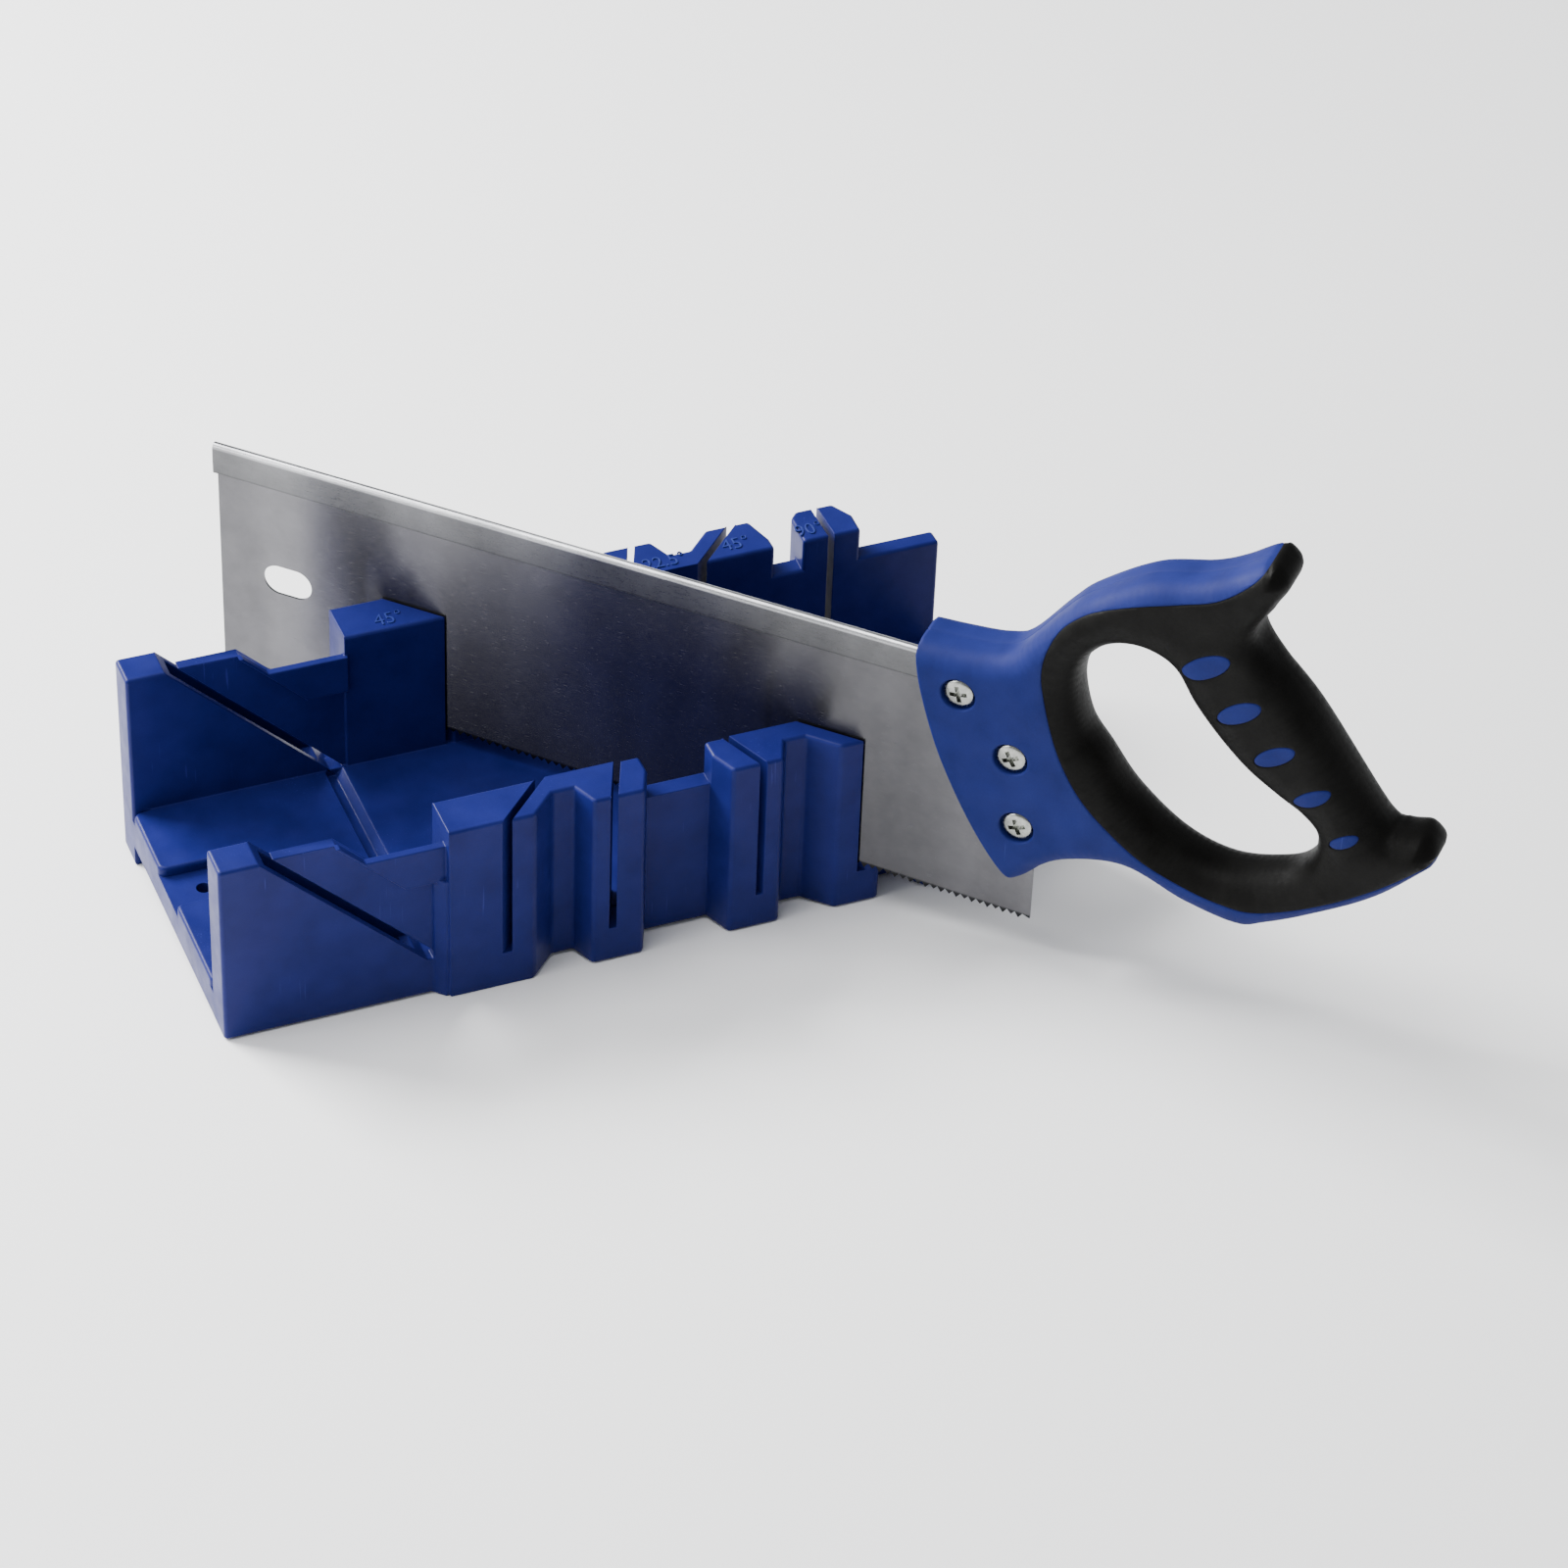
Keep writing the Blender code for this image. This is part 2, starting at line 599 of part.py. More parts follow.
def handle_body(name, shrink=0.0):
    """The handle's full body, or the smaller one that a skin leaves inside it."""
    outline = smooth_loop(HANDLE, 3)
    hole = smooth_loop(HAND_HOLE, 2)
    if shrink:
        inner, inner_hole = inset(outline, shrink), inset(hole, -shrink)
        half = CORE_HALF + GRIP_SKIN - shrink
        radii = [INNER_RIM] * len(inner)
        return plate(name, inner, radii, inner_hole, INNER_RIM, half, INNER_DROPS)
    radii = []
    for i, (along, up) in enumerate(outline):
        after = outline[(i + 1) % len(outline)]
        radii.append(rim_radius((along + after[0]) / 2, (up + after[1]) / 2))
    return plate(name, outline, radii, hole, RIM, HANDLE_HALF, DROPS)


def cover_zone(name, grow):
    """The region of the handle that the soft cover takes, open beyond the back of the grip."""
    edge = COVER_EDGE
    moved = []
    for i, point in enumerate(edge):
        before = Vector(edge[max(i - 1, 0)])
        after = Vector(edge[min(i + 1, len(edge) - 1)])
        run = (after - before).normalized()
        moved.append(tuple(Vector(point) + Vector((run.y, -run.x)) * grow))
    beyond = [(0.2200, 0.1050), (0.2200, 0.2150), (0.1450, 0.2150)]
    first = (moved[0][0] + 0.0020, moved[0][1] + 0.0100)
    last = (moved[-1][0] + 0.0080, moved[-1][1] + 0.0060)
    return prism(name, [first, *moved, last, *beyond], -0.020, 0.020, "Y")


def oval_posts(grow, reach):
    posts = []
    for along, up, length, width in OVALS:
        outline = circle((along, up), length / 2 + grow, width / 2 + grow, OVAL_TILT)
        posts.append(prism("oval", outline, -reach, reach, "Y"))
    return posts


def build_handle(core_finish, cover_finish):
    """The hard core shows at the cheek, the edges and in ovals; the soft cover wraps the rest."""
    cover = handle_body("handle_grip")
    combine(cover, cover_zone("zone", 0.0), "INTERSECT")
    cut_all(cover, [handle_body("inner", GRIP_SKIN - GAP), *oval_posts(GAP, 0.020)])
    shade(cover, cover_finish, angle=40)

    core = handle_body("handle_core")
    cut_all(core, [cover_zone("zone", GAP)])
    join_all(core, [handle_body("inner", GRIP_SKIN), *oval_posts(0.0, HANDLE_HALF - 0.0002)])
    half = BLADE_THICKNESS / 2 + GAP
    cuts = [box("blade_slot", (0.010, TANG_END + 0.001), (-half, half), (0.030, SPINE_TOP))]
    half = SPINE_THICKNESS / 2 + GAP
    rise = SPINE_FOOT - GAP, SPINE_TOP + GAP
    cuts.append(box("spine_slot", (0.010, SPINE_END + GAP), (-half, half), rise))
    for place in SCREWS.values():
        cuts.append(rod("near_sink", place, SINK_RADIUS, -0.020, SINK_DEPTH - HANDLE_HALF))
        cuts.append(rod("far_sink", place, SINK_RADIUS, HANDLE_HALF - SINK_DEPTH, 0.020))
        cuts.append(rod("near_bore", place, SHANK_RADIUS + GAP, -0.015, 0.0))
        cuts.append(rod("far_bore", place, SLEEVE_RADIUS + GAP, BLADE_THICKNESS / 2, 0.015))
    cut_all(core, cuts)
    shade(core, core_finish, angle=40)
    return core, cover


def turned(name, centre, profile, hollow=0.0):
    """A solid turned about a Y line through the centre, from (radius, y) stations."""
    shape = bmesh.new()
    rings = []
    for radius, across in profile:
        ring = [shape.verts.new((u, across, v)) for u, v in circle(centre, radius, radius, 0.0)]
        rings.append(ring)
    for low, high in zip(rings, rings[1:]):
        for i in range(ROUND_SIDES):
            j = (i + 1) % ROUND_SIDES
            shape.faces.new((low[i], low[j], high[j], high[i]))
    shape.faces.new(rings[0])
    shape.faces.new(rings[-1])
    made = new_object(name, shape)
    if hollow:
        cut_all(made, [rod("bore", centre, hollow, -0.020, HANDLE_HALF - SINK_DEPTH + 0.0006)])
    return made


def head_profile(side):
    """Stations of a pan head, from its seat in the cheek outwards."""
    seat = HANDLE_HALF - SINK_DEPTH + GAP / 3
    stations = [(1.0, 0.0), (1.0, 0.45), (0.86, 0.8), (0.6, 1.0)]
    return [(HEAD_RADIUS * wide, side * (seat + HEAD_HEIGHT * high)) for wide, high in stations]


def build_fasteners(finish):
    """Three pan-head screws from the near cheek into sleeve nuts from the far one."""
    made = []
    for label, centre in SCREWS.items():
        head = head_profile(-1)
        seat = head[0][1]
        screw = turned(
            f"handle_screw_{label}", centre, [(SHANK_RADIUS, 0.0080), (SHANK_RADIUS, seat), *head]
        )
        arms = [circle(centre, 0.0022, 0.0006, math.radians(turn)) for turn in (20, 110)]
        cut_all(screw, [prism("cross", arm, -0.020, seat - 0.0006, "Y") for arm in arms])
        barrel = [(SLEEVE_RADIUS, 0.0010), (SLEEVE_RADIUS, -seat)]
        nut = turned(f"sleeve_nut_{label}", centre, barrel + head_profile(1), hollow=SLEEVE_BORE)
        for part in (screw, nut):
            shade(part, finish)
            made.append(part)
    return made


def build_saw():
    """All saw parts, parented to a frame that lies on the slot's centre line."""
    steel = material("blade_steel", (0.55, 0.56, 0.58), 0.32, 1.0)
    folded = material("spine_steel", (0.62, 0.63, 0.65), 0.28, 1.0)
    hard = material("core_plastic", (0.020, 0.060, 0.280), 0.38)
    soft = material("grip_rubber", (0.012, 0.012, 0.014), 0.62)
    plated = material("screw_steel", (0.72, 0.72, 0.70), 0.22, 1.0)
    parts = [build_blade(steel), build_spine(folded)]
    parts += build_handle(hard, soft)
    parts += build_fasteners(plated)
    frame = bpy.data.objects.new("saw_frame", None)
    bpy.context.collection.objects.link(frame)
    frame.location = (LEFT + slot_at(ANGLES["right_45"], 0.0), FRONT, 0.0)
    frame.rotation_euler = (0.0, 0.0, math.radians(-45))
    for part in parts:
        part.parent = frame


clear_scene()
build_box(material("box_plastic", (0.022, 0.070, 0.300), 0.42))
build_saw()
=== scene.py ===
"""Looks of the miter box and its back saw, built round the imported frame.

Frame: metres, +Z up, the origin at the centre of the box's underside. The saw's pieces are modelled
in the saw's own frame: +X from the front wall's face towards the handle, +Z up.
"""

import math

import bmesh
import bpy
import numpy as np
from mathutils import Matrix, Vector
from mathutils.geometry import delaunay_2d_cdt


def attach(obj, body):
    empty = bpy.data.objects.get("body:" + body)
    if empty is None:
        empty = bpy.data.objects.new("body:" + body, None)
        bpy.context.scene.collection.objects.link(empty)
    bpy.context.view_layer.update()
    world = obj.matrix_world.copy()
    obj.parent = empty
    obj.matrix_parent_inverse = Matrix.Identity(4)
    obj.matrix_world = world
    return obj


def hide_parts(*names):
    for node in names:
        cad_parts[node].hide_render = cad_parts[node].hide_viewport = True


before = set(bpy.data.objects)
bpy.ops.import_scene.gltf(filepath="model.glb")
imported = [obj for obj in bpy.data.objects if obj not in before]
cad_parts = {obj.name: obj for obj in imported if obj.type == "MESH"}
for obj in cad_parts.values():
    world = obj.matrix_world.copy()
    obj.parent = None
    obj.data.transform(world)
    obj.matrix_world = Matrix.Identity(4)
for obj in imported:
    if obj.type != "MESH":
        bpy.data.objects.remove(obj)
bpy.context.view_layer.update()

# --- Box: overall sizes -----------------------------------------------------------------------
LENGTH = 0.305
WIDTH = 0.131
WALL = 0.018
BLOCK_TOP = 0.073
FLOOR = 0.0155
FLOOR_SKIN = 0.004  # over the pockets under the floor
HOOK_DROP = 0.0085

# --- Box: slots that guide the blade upright -----------------------------------------------------
CROSSING = 0.1652  # distance from the left end to the point where the angled slots cross
SQUARE_SLOT = 0.2624
SLOT_WIDTH = 0.0024
SLOT_FLOOR = 0.0145
ANGLES = {"left_45": -45.0, "left_22": -22.5, "right_22": 22.5, "right_45": 45.0}

# --- Box: left end with the tilted slot ----------------------------------------------------------
SET_BACK = 0.0043  # the left end's outer faces, behind the blocks' faces
BEVEL_NEAR = 0.0880  # x + z on the tilted slot's lower side
BEVEL_FAR = 0.0930  # x + z on its upper side
PANEL_EDGE = 0.1145  # x + z along the panel's left side
PANEL_PROUD = 0.0014
BLOCK_START = 0.079

# --- Saw, in its own frame: +X from the front wall's face towards the handle, +Z up --------------
TOE = -0.250
HEEL = 0.063
TANG_END = 0.072
TANG_FOOT = ((HEEL, 0.052), (TANG_END, 0.060))  # the tang's lower edge, inside the handle
BLADE_THICKNESS = 0.0008
TOOTH_PITCH = 0.0029
TOOTH_DEPTH = 0.0019
HEEL_TIP = 0.0152
TOOTH_LINE_RISE = 0.0267
SPINE_FOOT = 0.107
SPINE_TOP = 0.1192
SPINE_THICKNESS = 0.0034
SPINE_END = 0.027
SPINE_GAP = 0.0002
SPINE_START = TOE - 0.0012
PLATE_TOP = SPINE_TOP - 0.0012
SLIT_TOP = SPINE_TOP - 0.0010
SPINE_LIP = 0.0003
HANGING_HOLE = (-0.2235, 0.0668, 0.019, 0.0122)  # along, up, length, width
HANDLE_HALF = 0.013
RIM = 0.008  # the rim's radius round the handle's outline
FRONT_RIM = 0.0015  # and down the cheek's front edge
FRONT_LEAN = 0.438  # the front edge's run back for each step down
FRONT_BLEND = 0.014

# Handle outline: (along, up, corner), with the curve running smoothly through all but the corners.
HANDLE = [
    (0.0190, 0.1277, True), (0.0325, 0.1287, False), (0.0450, 0.1305, False),
    (0.0540, 0.1352, False), (0.0670, 0.1525, False), (0.0760, 0.1625, False),
    (0.0950, 0.1764, False), (0.1140, 0.1830, False), (0.1250, 0.1893, False),
    (0.1350, 0.1968, False), (0.1400, 0.1972, False), (0.1443, 0.1912, False),
    (0.1395, 0.1800, False), (0.1348, 0.1652, False), (0.1568, 0.1416, False),
    (0.1834, 0.1064, False), (0.1895, 0.1032, False), (0.1980, 0.1050, False),
    (0.2035, 0.1000, False), (0.2030, 0.0955, True), (0.1855, 0.0765, False),
    (0.1652, 0.0617, False), (0.1500, 0.0525, False), (0.1394, 0.0482, False),
    (0.1197, 0.0514, False), (0.0980, 0.0585, False), (0.0765, 0.0532, False),
    (0.0620, 0.0425, False), (0.0552, 0.0435, False), (0.0427, 0.0607, False),
    (0.0300, 0.0860, False), (0.0220, 0.1106, False),
]
HAND_HOLE = [
    (0.0752, 0.1252), (0.0772, 0.1373), (0.0837, 0.1456), (0.0918, 0.1493), (0.1000, 0.1494),
    (0.1078, 0.1455), (0.1151, 0.1344), (0.1251, 0.1228), (0.1360, 0.1129), (0.1478, 0.1055),
    (0.1562, 0.1009), (0.1617, 0.0950), (0.1620, 0.0866), (0.1584, 0.0791), (0.1505, 0.0731),
    (0.1326, 0.0679), (0.1151, 0.0719), (0.0979, 0.0846), (0.0869, 0.0984), (0.0790, 0.1092),
]
# The soft cover's edge on the cheek, from the top of the horn round to the tail.
COVER_EDGE = [
    (0.1365, 0.1965), (0.1300, 0.1880), (0.1210, 0.1808), (0.1100, 0.1762), (0.0980, 0.1716),
    (0.0880, 0.1668), (0.0780, 0.1605), (0.0700, 0.1520), (0.0659, 0.1425), (0.0645, 0.1330),
    (0.0657, 0.1235), (0.0695, 0.1085), (0.0746, 0.0961), (0.0820, 0.0845), (0.0923, 0.0747),
    (0.1050, 0.0660), (0.1202, 0.0604), (0.1340, 0.0580), (0.1472, 0.0591), (0.1680, 0.0695),
    (0.1882, 0.0845), (0.2010, 0.0960),
]
OVALS = [  # centre along, centre up, length, width
    (0.1205, 0.1543, 0.0195, 0.0082), (0.1335, 0.1398, 0.0173, 0.0073),
    (0.1470, 0.1263, 0.0160, 0.0066), (0.1610, 0.1133, 0.0148, 0.0058),
    (0.1735, 0.0994, 0.0114, 0.0047),
]
OVAL_TILT = math.radians(36)
SCREWS = {"upper": (0.0358, 0.1140), "middle": (0.0559, 0.0932), "lower": (0.0599, 0.0650)}
HEAD_RADIUS = 0.0054
HEAD_HEIGHT = 0.0022
SINK_RADIUS = 0.0062
SINK_DEPTH = 0.0026
SEAT_GAP = 0.0001
HEAD_BRIM = 0.0008
DOME_RISE = HEAD_HEIGHT - 0.0009
SHANK_RADIUS = 0.0020
SHANK_START = 0.002
SCREW_TURNS = {"upper": 12, "middle": 28, "lower": 20}
CROSS_MOUTH = (0.0033, 0.00085)  # half length and half width of each arm
CROSS_FOOT = (0.0026, 0.00065)
CROSS_DEPTH = 0.0022
ROUND_SIDES = 48

LEFT = -LENGTH / 2
FRONT = -WIDTH / 2

# --- Fine detail ---------------------------------------------------------------------------------
EDGE_ROUND = 0.0014
FILLET = 0.0011  # up the inner corners
THIN_ROUND = 0.0005  # on the thin wall and the panel
SLOT_ROUND = 0.0005
FINE_ROUND = 0.00025
FLAT_ANGLE = math.radians(0.6)  # faces that meet at less than this are one face
CREASE_ANGLE = math.radians(20)  # edges sharper than this are rounded
ROOM_SHARE = 0.42  # of the face beside an edge that its rounding may take
NUMBER_SIZE = 0.0090
NUMBER_SQUEEZE = 0.86
NUMBER_RISE = 0.0006
NUMBERS = {  # text, centre along, depth in from the back
    "number_45_left": ("45°", 0.0971, 0.0126),
    "number_22_left": ("22.5°", 0.1300, 0.0132),
    "number_22_right": ("22.5°", 0.2002, 0.0132),
    "number_45_right": ("45°", 0.2280, 0.0116),
    "number_90": ("90°", 0.2560, 0.0122),
}
TOOTH_SET = 0.0003
TIP_SHARE = 0.7  # of the plate's thickness at a tooth's tip
HOLE_RIM = 0.0115  # the rim's radius round the hand hole
BACK_RIM = 0.0110  # and down the back of the grip
BACK_START = 0.133  # along
BACK_SPAN = (0.094, 0.186)  # up
BACK_BLEND = 0.012
SEAM_HALF = 0.0004
SEAM_DEPTH = 0.0004  # where the cover meets the shell
PARTING_DEPTH = 0.0006  # round the shell's middle
SINK_LIP = SINK_RADIUS + 0.0006
OUTLINE_GAP = 0.0011  # between the points of the outline and the hand hole
EDGE_GAP = 0.0008  # along the cover's edge
OVAL_GAP = 0.0007
ON_LINE = 2e-6  # points nearer a line than this are on it
FILL_GAP = 0.0020  # between the rows of points over the cheeks
FILL_START = (0.016, 0.040)
FILL_COUNT = (100, 90)  # points in a row, rows
FILL_CLEAR = 0.0008  # kept free beside the lines and rims
STEADY_RIM = 0.0062  # smoothing leaves the surface alone this near the rim
SMOOTH_ROUNDS = 10
LEAST_HALF = 0.0006

# --- Colours -------------------------------------------------------------------------------------
BOX_BLUE = (0.0070, 0.0105, 0.104)
# Lighter blue for the digits: a painted highlight, standing in for the light caught by their raised
# edges
DIGIT_HIGHLIGHT_BLUE = (0.018, 0.029, 0.165)
HANDLE_BLUE = (0.0080, 0.0135, 0.106)
GRIP_BLACK = (0.0024, 0.0023, 0.0020)
GROUND_STEEL = (0.176, 0.174, 0.184)
STRIP_STEEL = (0.74, 0.745, 0.77)
PLATING = ((0.27, 0.275, 0.26), (0.38, 0.39, 0.36))  # its clouds' dark and light
TEETH_BAND = 0.006  # height over which the blade's shades run
TEETH_SHADES = [(0.0, 0.14), (0.30, 0.20), (0.42, 1.0)]
# Spine tone by height: painted shade at the foot, the plain face, then a painted highlight along
# the fold's top
SPINE_PAINTED_LIGHT = [(0.0, 0.07), (0.07, 0.22), (0.84, 0.25), (0.93, 1.0)]

# --- Floor, light and camera ---------------------------------------------------------------------
FLOOR_SIZE = 14.0
FLOOR_SQUARES = 12
FLOOR_GAP = 0.00005
LIGHT_AIM = (0.0, 0.0, 0.05)
CAMERA_PLACE = (-0.524666, -1.414701, 1.258202)
CAMERA_TURNS = (22.97513, 39.22606, 2.343103)  # turned, tipped down, rolled, in degrees
FOCAL_LENGTH = 126.944


# --- Modelling helpers ---------------------------------------------------------------------------
def new_object(name, shape):
    """An object from a bmesh, with doubled points merged and its faces turned outwards."""
    bmesh.ops.remove_doubles(shape, verts=shape.verts, dist=1e-6)
    bmesh.ops.recalc_face_normals(shape, faces=shape.faces)
    mesh = bpy.data.meshes.new(name)
    shape.to_mesh(mesh)
    shape.free()
    made = bpy.data.objects.new(name, mesh)
    bpy.context.collection.objects.link(made)
    return made


def prism(name, outline, low, high):
    """A closed prism: an outline in (x, z) pushed along Y."""
    shape = bmesh.new()
    rim = [shape.verts.new((u, low, v)) for u, v in outline]
    end = [shape.verts.new((u, high, v)) for u, v in outline]
    shape.faces.new(rim)
    shape.faces.new(end)
    for i, vert in enumerate(rim):
        j = (i + 1) % len(rim)
        shape.faces.new((vert, rim[j], end[j], end[i]))
    return new_object(name, shape)


def circle(centre, half_length, half_width, tilt):
    """Points round an ellipse, tilted in its own plane."""
    points = []
    for i in range(ROUND_SIDES):
        turn = 2 * math.pi * i / ROUND_SIDES
        offset = Vector((half_length * math.cos(turn), half_width * math.sin(turn)))
        offset.rotate(Matrix.Rotation(tilt, 2))
        points.append((centre[0] + offset.x, centre[1] + offset.y))
    return points


def cut_all(target, tools):
    """Cuts each tool out of the target, and removes it."""
    for tool in tools:
        change = target.modifiers.new("cut", "BOOLEAN")
        change.operation = "DIFFERENCE"
        change.solver = "EXACT"
        change.object = tool
        graph = bpy.context.evaluated_depsgraph_get()
        result = bpy.data.meshes.new_from_object(target.evaluated_get(graph))
        target.modifiers.remove(change)
        target.data = result
        bpy.data.objects.remove(tool, do_unlink=True)


def smooth_loop(points, steps):
    """A closed curve through (u, v) or (u, v, corner) points, round but for the corners."""
    count = len(points)
    places = [Vector(point[:2]) for point in points]
    corner = [len(point) > 2 and point[2] for point in points]
    loop = []
    for i in range(count):
        j = (i + 1) % count
        start, end = places[i], places[j]
        leave = end - start if corner[i] else (end - places[i - 1]) / 2
        arrive = end - start if corner[j] else (places[(j + 1) % count] - start) / 2
        for step in range(steps):
            t = step / steps
            point = start * (2 * t**3 - 3 * t**2 + 1) + leave * (t**3 - 2 * t**2 + t)
            point += end * (3 * t**2 - 2 * t**3) + arrive * (t**3 - t**2)
            loop.append(tuple(point))
    return loop


def slot_at(angle, depth):
    """Where a slot's centre line stands along the box, at a depth in from the outer face."""
    return CROSSING + math.tan(math.radians(angle)) * (WIDTH / 2 - depth)


def tooth_line(along):
    """The height of the teeth's tips."""
    return HEEL_TIP + TOOTH_LINE_RISE * (HEEL - along)


def rim_radius(along, up):
    """The rim's radius: small down the cheek's front edge, growing to full round the rest."""
    behind = along - HANDLE[0][0] - (HANDLE[0][1] - up) * FRONT_LEAN
    share = 1.0 if up > HANDLE[0][1] - 0.0005 else min(max(behind / FRONT_BLEND, 0.0), 1.0)
    return FRONT_RIM + (RIM - FRONT_RIM) * share


# --- Rounding and shading ------------------------------------------------------------------------
def evaluated_copy(made):
    """The object's mesh with its modifiers applied."""
    graph = bpy.context.evaluated_depsgraph_get()
    mesh = bpy.data.meshes.new_from_object(made.evaluated_get(graph))
    made.modifiers.clear()
    made.data = mesh
    return made


def smooth(made, angle):
    """Smooth shading that breaks at sharp edges and keeps large faces flat."""
    made.data.shade_smooth()
    made.data.set_sharp_from_angle(angle=math.radians(angle))
    weigh = made.modifiers.new("weigh", "WEIGHTED_NORMAL")
    weigh.mode = "FACE_AREA"
    weigh.weight = 80
    weigh.keep_sharp = True
    return evaluated_copy(made)


def room_beside(edge):
    """The length of the shortest edge that leaves this one's ends sideways, on its own faces."""
    run = (edge.verts[1].co - edge.verts[0].co).normalized()
    room = 1.0
    for face in edge.link_faces:
        for vert in edge.verts:
            for other in vert.link_edges:
                if other is edge or face not in other.link_faces:
                    continue
                lean = (other.other_vert(vert).co - vert.co).normalized()
                if abs(lean.dot(run)) < 0.94:
                    room = min(room, other.calc_length())
    return room


def beside_slot(point):
    """Whether a point stands at one of the upright slots' edges."""
    depth = min(point.y - FRONT, -FRONT - point.y)
    if depth > WALL + 0.001 or point.z < SLOT_FLOOR - 0.001:
        return False
    reach = SLOT_WIDTH / 2 + 0.0003
    if abs(point.x - LEFT - SQUARE_SLOT) < reach:
        return True
    for angle in ANGLES.values():
        away = point.x - LEFT - slot_at(angle, depth)
        if abs(away) * math.cos(math.radians(angle)) < reach:
            return True
    return False


def thin_part(point):
    """Whether a point lies on the thin wall or the panel above the left end's floor."""
    along = point.x - LEFT
    return along < BLOCK_START + 0.001 and along + point.z > BEVEL_FAR - 0.0005 and point.z > 0.02


def upright(edge):
    """Whether an edge stands within about 18 degrees of upright."""
    run = edge.verts[1].co - edge.verts[0].co
    return abs(run.z) > 0.95 * run.length


def edge_round(edge):
    """How far an edge of the moulding is rounded."""
    middle = (edge.verts[0].co + edge.verts[1].co) / 2
    if abs(middle.x - LEFT + middle.z - PANEL_EDGE) < 0.0010 and thin_part(middle):
        near = FRONT + SET_BACK if middle.y < 0 else -FRONT - WALL
        if middle.y > near - PANEL_PROUD + 0.0002:
            return 0.0
    if middle.z < FLOOR - FLOOR_SKIN + 0.0001 and abs(middle.y) < -FRONT - 0.012:
        wanted = FINE_ROUND
    elif beside_slot(edge.verts[0].co) and beside_slot(edge.verts[1].co):
        wanted = FINE_ROUND
    elif abs(middle.x + middle.z - LEFT - (BEVEL_NEAR + BEVEL_FAR) / 2) < 0.0030:
        wanted = SLOT_ROUND
    elif thin_part(middle):
        wanted = THIN_ROUND
    elif edge.calc_face_angle_signed(0.0) < 0:
        wanted = FILLET if upright(edge) else SLOT_ROUND
    else:
        wanted = EDGE_ROUND
    return min(wanted, ROOM_SHARE * room_beside(edge))


def rounded_moulding(name, node):
    """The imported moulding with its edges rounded."""
    shape = bmesh.new()
    shape.from_mesh(node.data)
    bmesh.ops.remove_doubles(shape, verts=shape.verts, dist=2e-5)
    bmesh.ops.dissolve_limit(
        shape, angle_limit=FLAT_ANGLE, verts=shape.verts, edges=shape.edges
    )
    weight = shape.edges.layers.float.new("bevel_weight_edge")
    for edge in shape.edges:
        if len(edge.link_faces) == 2 and edge.calc_face_angle(0.0) > CREASE_ANGLE:
            edge[weight] = edge_round(edge) / EDGE_ROUND
    mesh = bpy.data.meshes.new(name)
    shape.to_mesh(mesh)
    shape.free()
    made = bpy.data.objects.new(name, mesh)
    bpy.context.collection.objects.link(made)
    change = made.modifiers.new("round", "BEVEL")
    change.limit_method = "WEIGHT"
    change.offset_type = "OFFSET"
    change.width = EDGE_ROUND
    change.segments = 3
    change.use_clamp_overlap = False
    change.miter_outer = "MITER_SHARP"
    evaluated_copy(made)
    for point in made.data.vertices:
        point.co.x = min(max(point.co.x, LEFT), -LEFT)
    return smooth(made, 40)


# --- Box pieces ----------------------------------------------------------------------------------
def raised_number(name, text, along, depth):
    """Moulded digits on a block of the far wall, read from the worker's side."""
    curve = bpy.data.curves.new(name, "FONT")
    curve.body = text
    curve.size = NUMBER_SIZE
    curve.align_x = "CENTER"
    curve.align_y = "CENTER"
    curve.extrude = NUMBER_RISE / 2
    curve.bevel_depth = NUMBER_RISE / 6
    curve.bevel_resolution = 1
    curve.offset = -NUMBER_RISE / 3
    curve.resolution_u = 4
    letters = bpy.data.objects.new(name + "_curve", curve)
    bpy.context.collection.objects.link(letters)
    letters.scale = (NUMBER_SQUEEZE, 1.0, 1.0)
    letters.location = (LEFT + along, -FRONT - depth, BLOCK_TOP)
    bpy.context.view_layer.update()
    graph = bpy.context.evaluated_depsgraph_get()
    mesh = bpy.data.meshes.new_from_object(letters.evaluated_get(graph))
    mesh.transform(letters.matrix_world)
    bpy.data.objects.remove(letters, do_unlink=True)
    made = bpy.data.objects.new(name, mesh)
    bpy.context.collection.objects.link(made)
    return smooth(made, 40)


# --- Handle surfaces -----------------------------------------------------------------------------
def spaced(points, gap, closed=True):
    """The same line with its points this far apart."""
    line = [Vector(point) for point in points]
    if closed:
        line.append(line[0])
    lengths = [(after - before).length for before, after in zip(line, line[1:])]
    whole = sum(lengths)
    count = max(round(whole / gap), 3)
    result = []
    travelled = 0.0
    step = 0
    for i in range(count if closed else count + 1):
        wanted = min(whole * i / count, whole - 1e-9)
        while travelled + lengths[step] < wanted:
            travelled += lengths[step]
            step += 1
        result.append(line[step].lerp(line[step + 1], (wanted - travelled) / lengths[step]))
    return np.array([tuple(point) for point in result])


def away(points, line, closed=True):
    """Distances from each point to each piece of a line, as a table."""
    start = line if closed else line[:-1]
    run = np.roll(line, -1, axis=0) - line
    run = run if closed else run[:-1]
    offset = points[:, None, :] - start[None]
    share = np.clip((offset * run).sum(2) / (run**2).sum(1), 0.0, 1.0)
    nearest = offset - share[..., None] * run
    return np.sqrt((nearest**2).sum(2))


def inside(points, loop):
    """Which points a closed line goes round."""
    x, y = points[:, 0], points[:, 1]
    held = np.zeros(len(points), bool)
    for (x0, y0), (x1, y1) in zip(loop, np.roll(loop, -1, axis=0)):
        if y0 != y1:
            crosses = (y0 > y) != (y1 > y)
            held ^= crosses & (x < (x1 - x0) * (y - y0) / (y1 - y0) + x0)
    return held


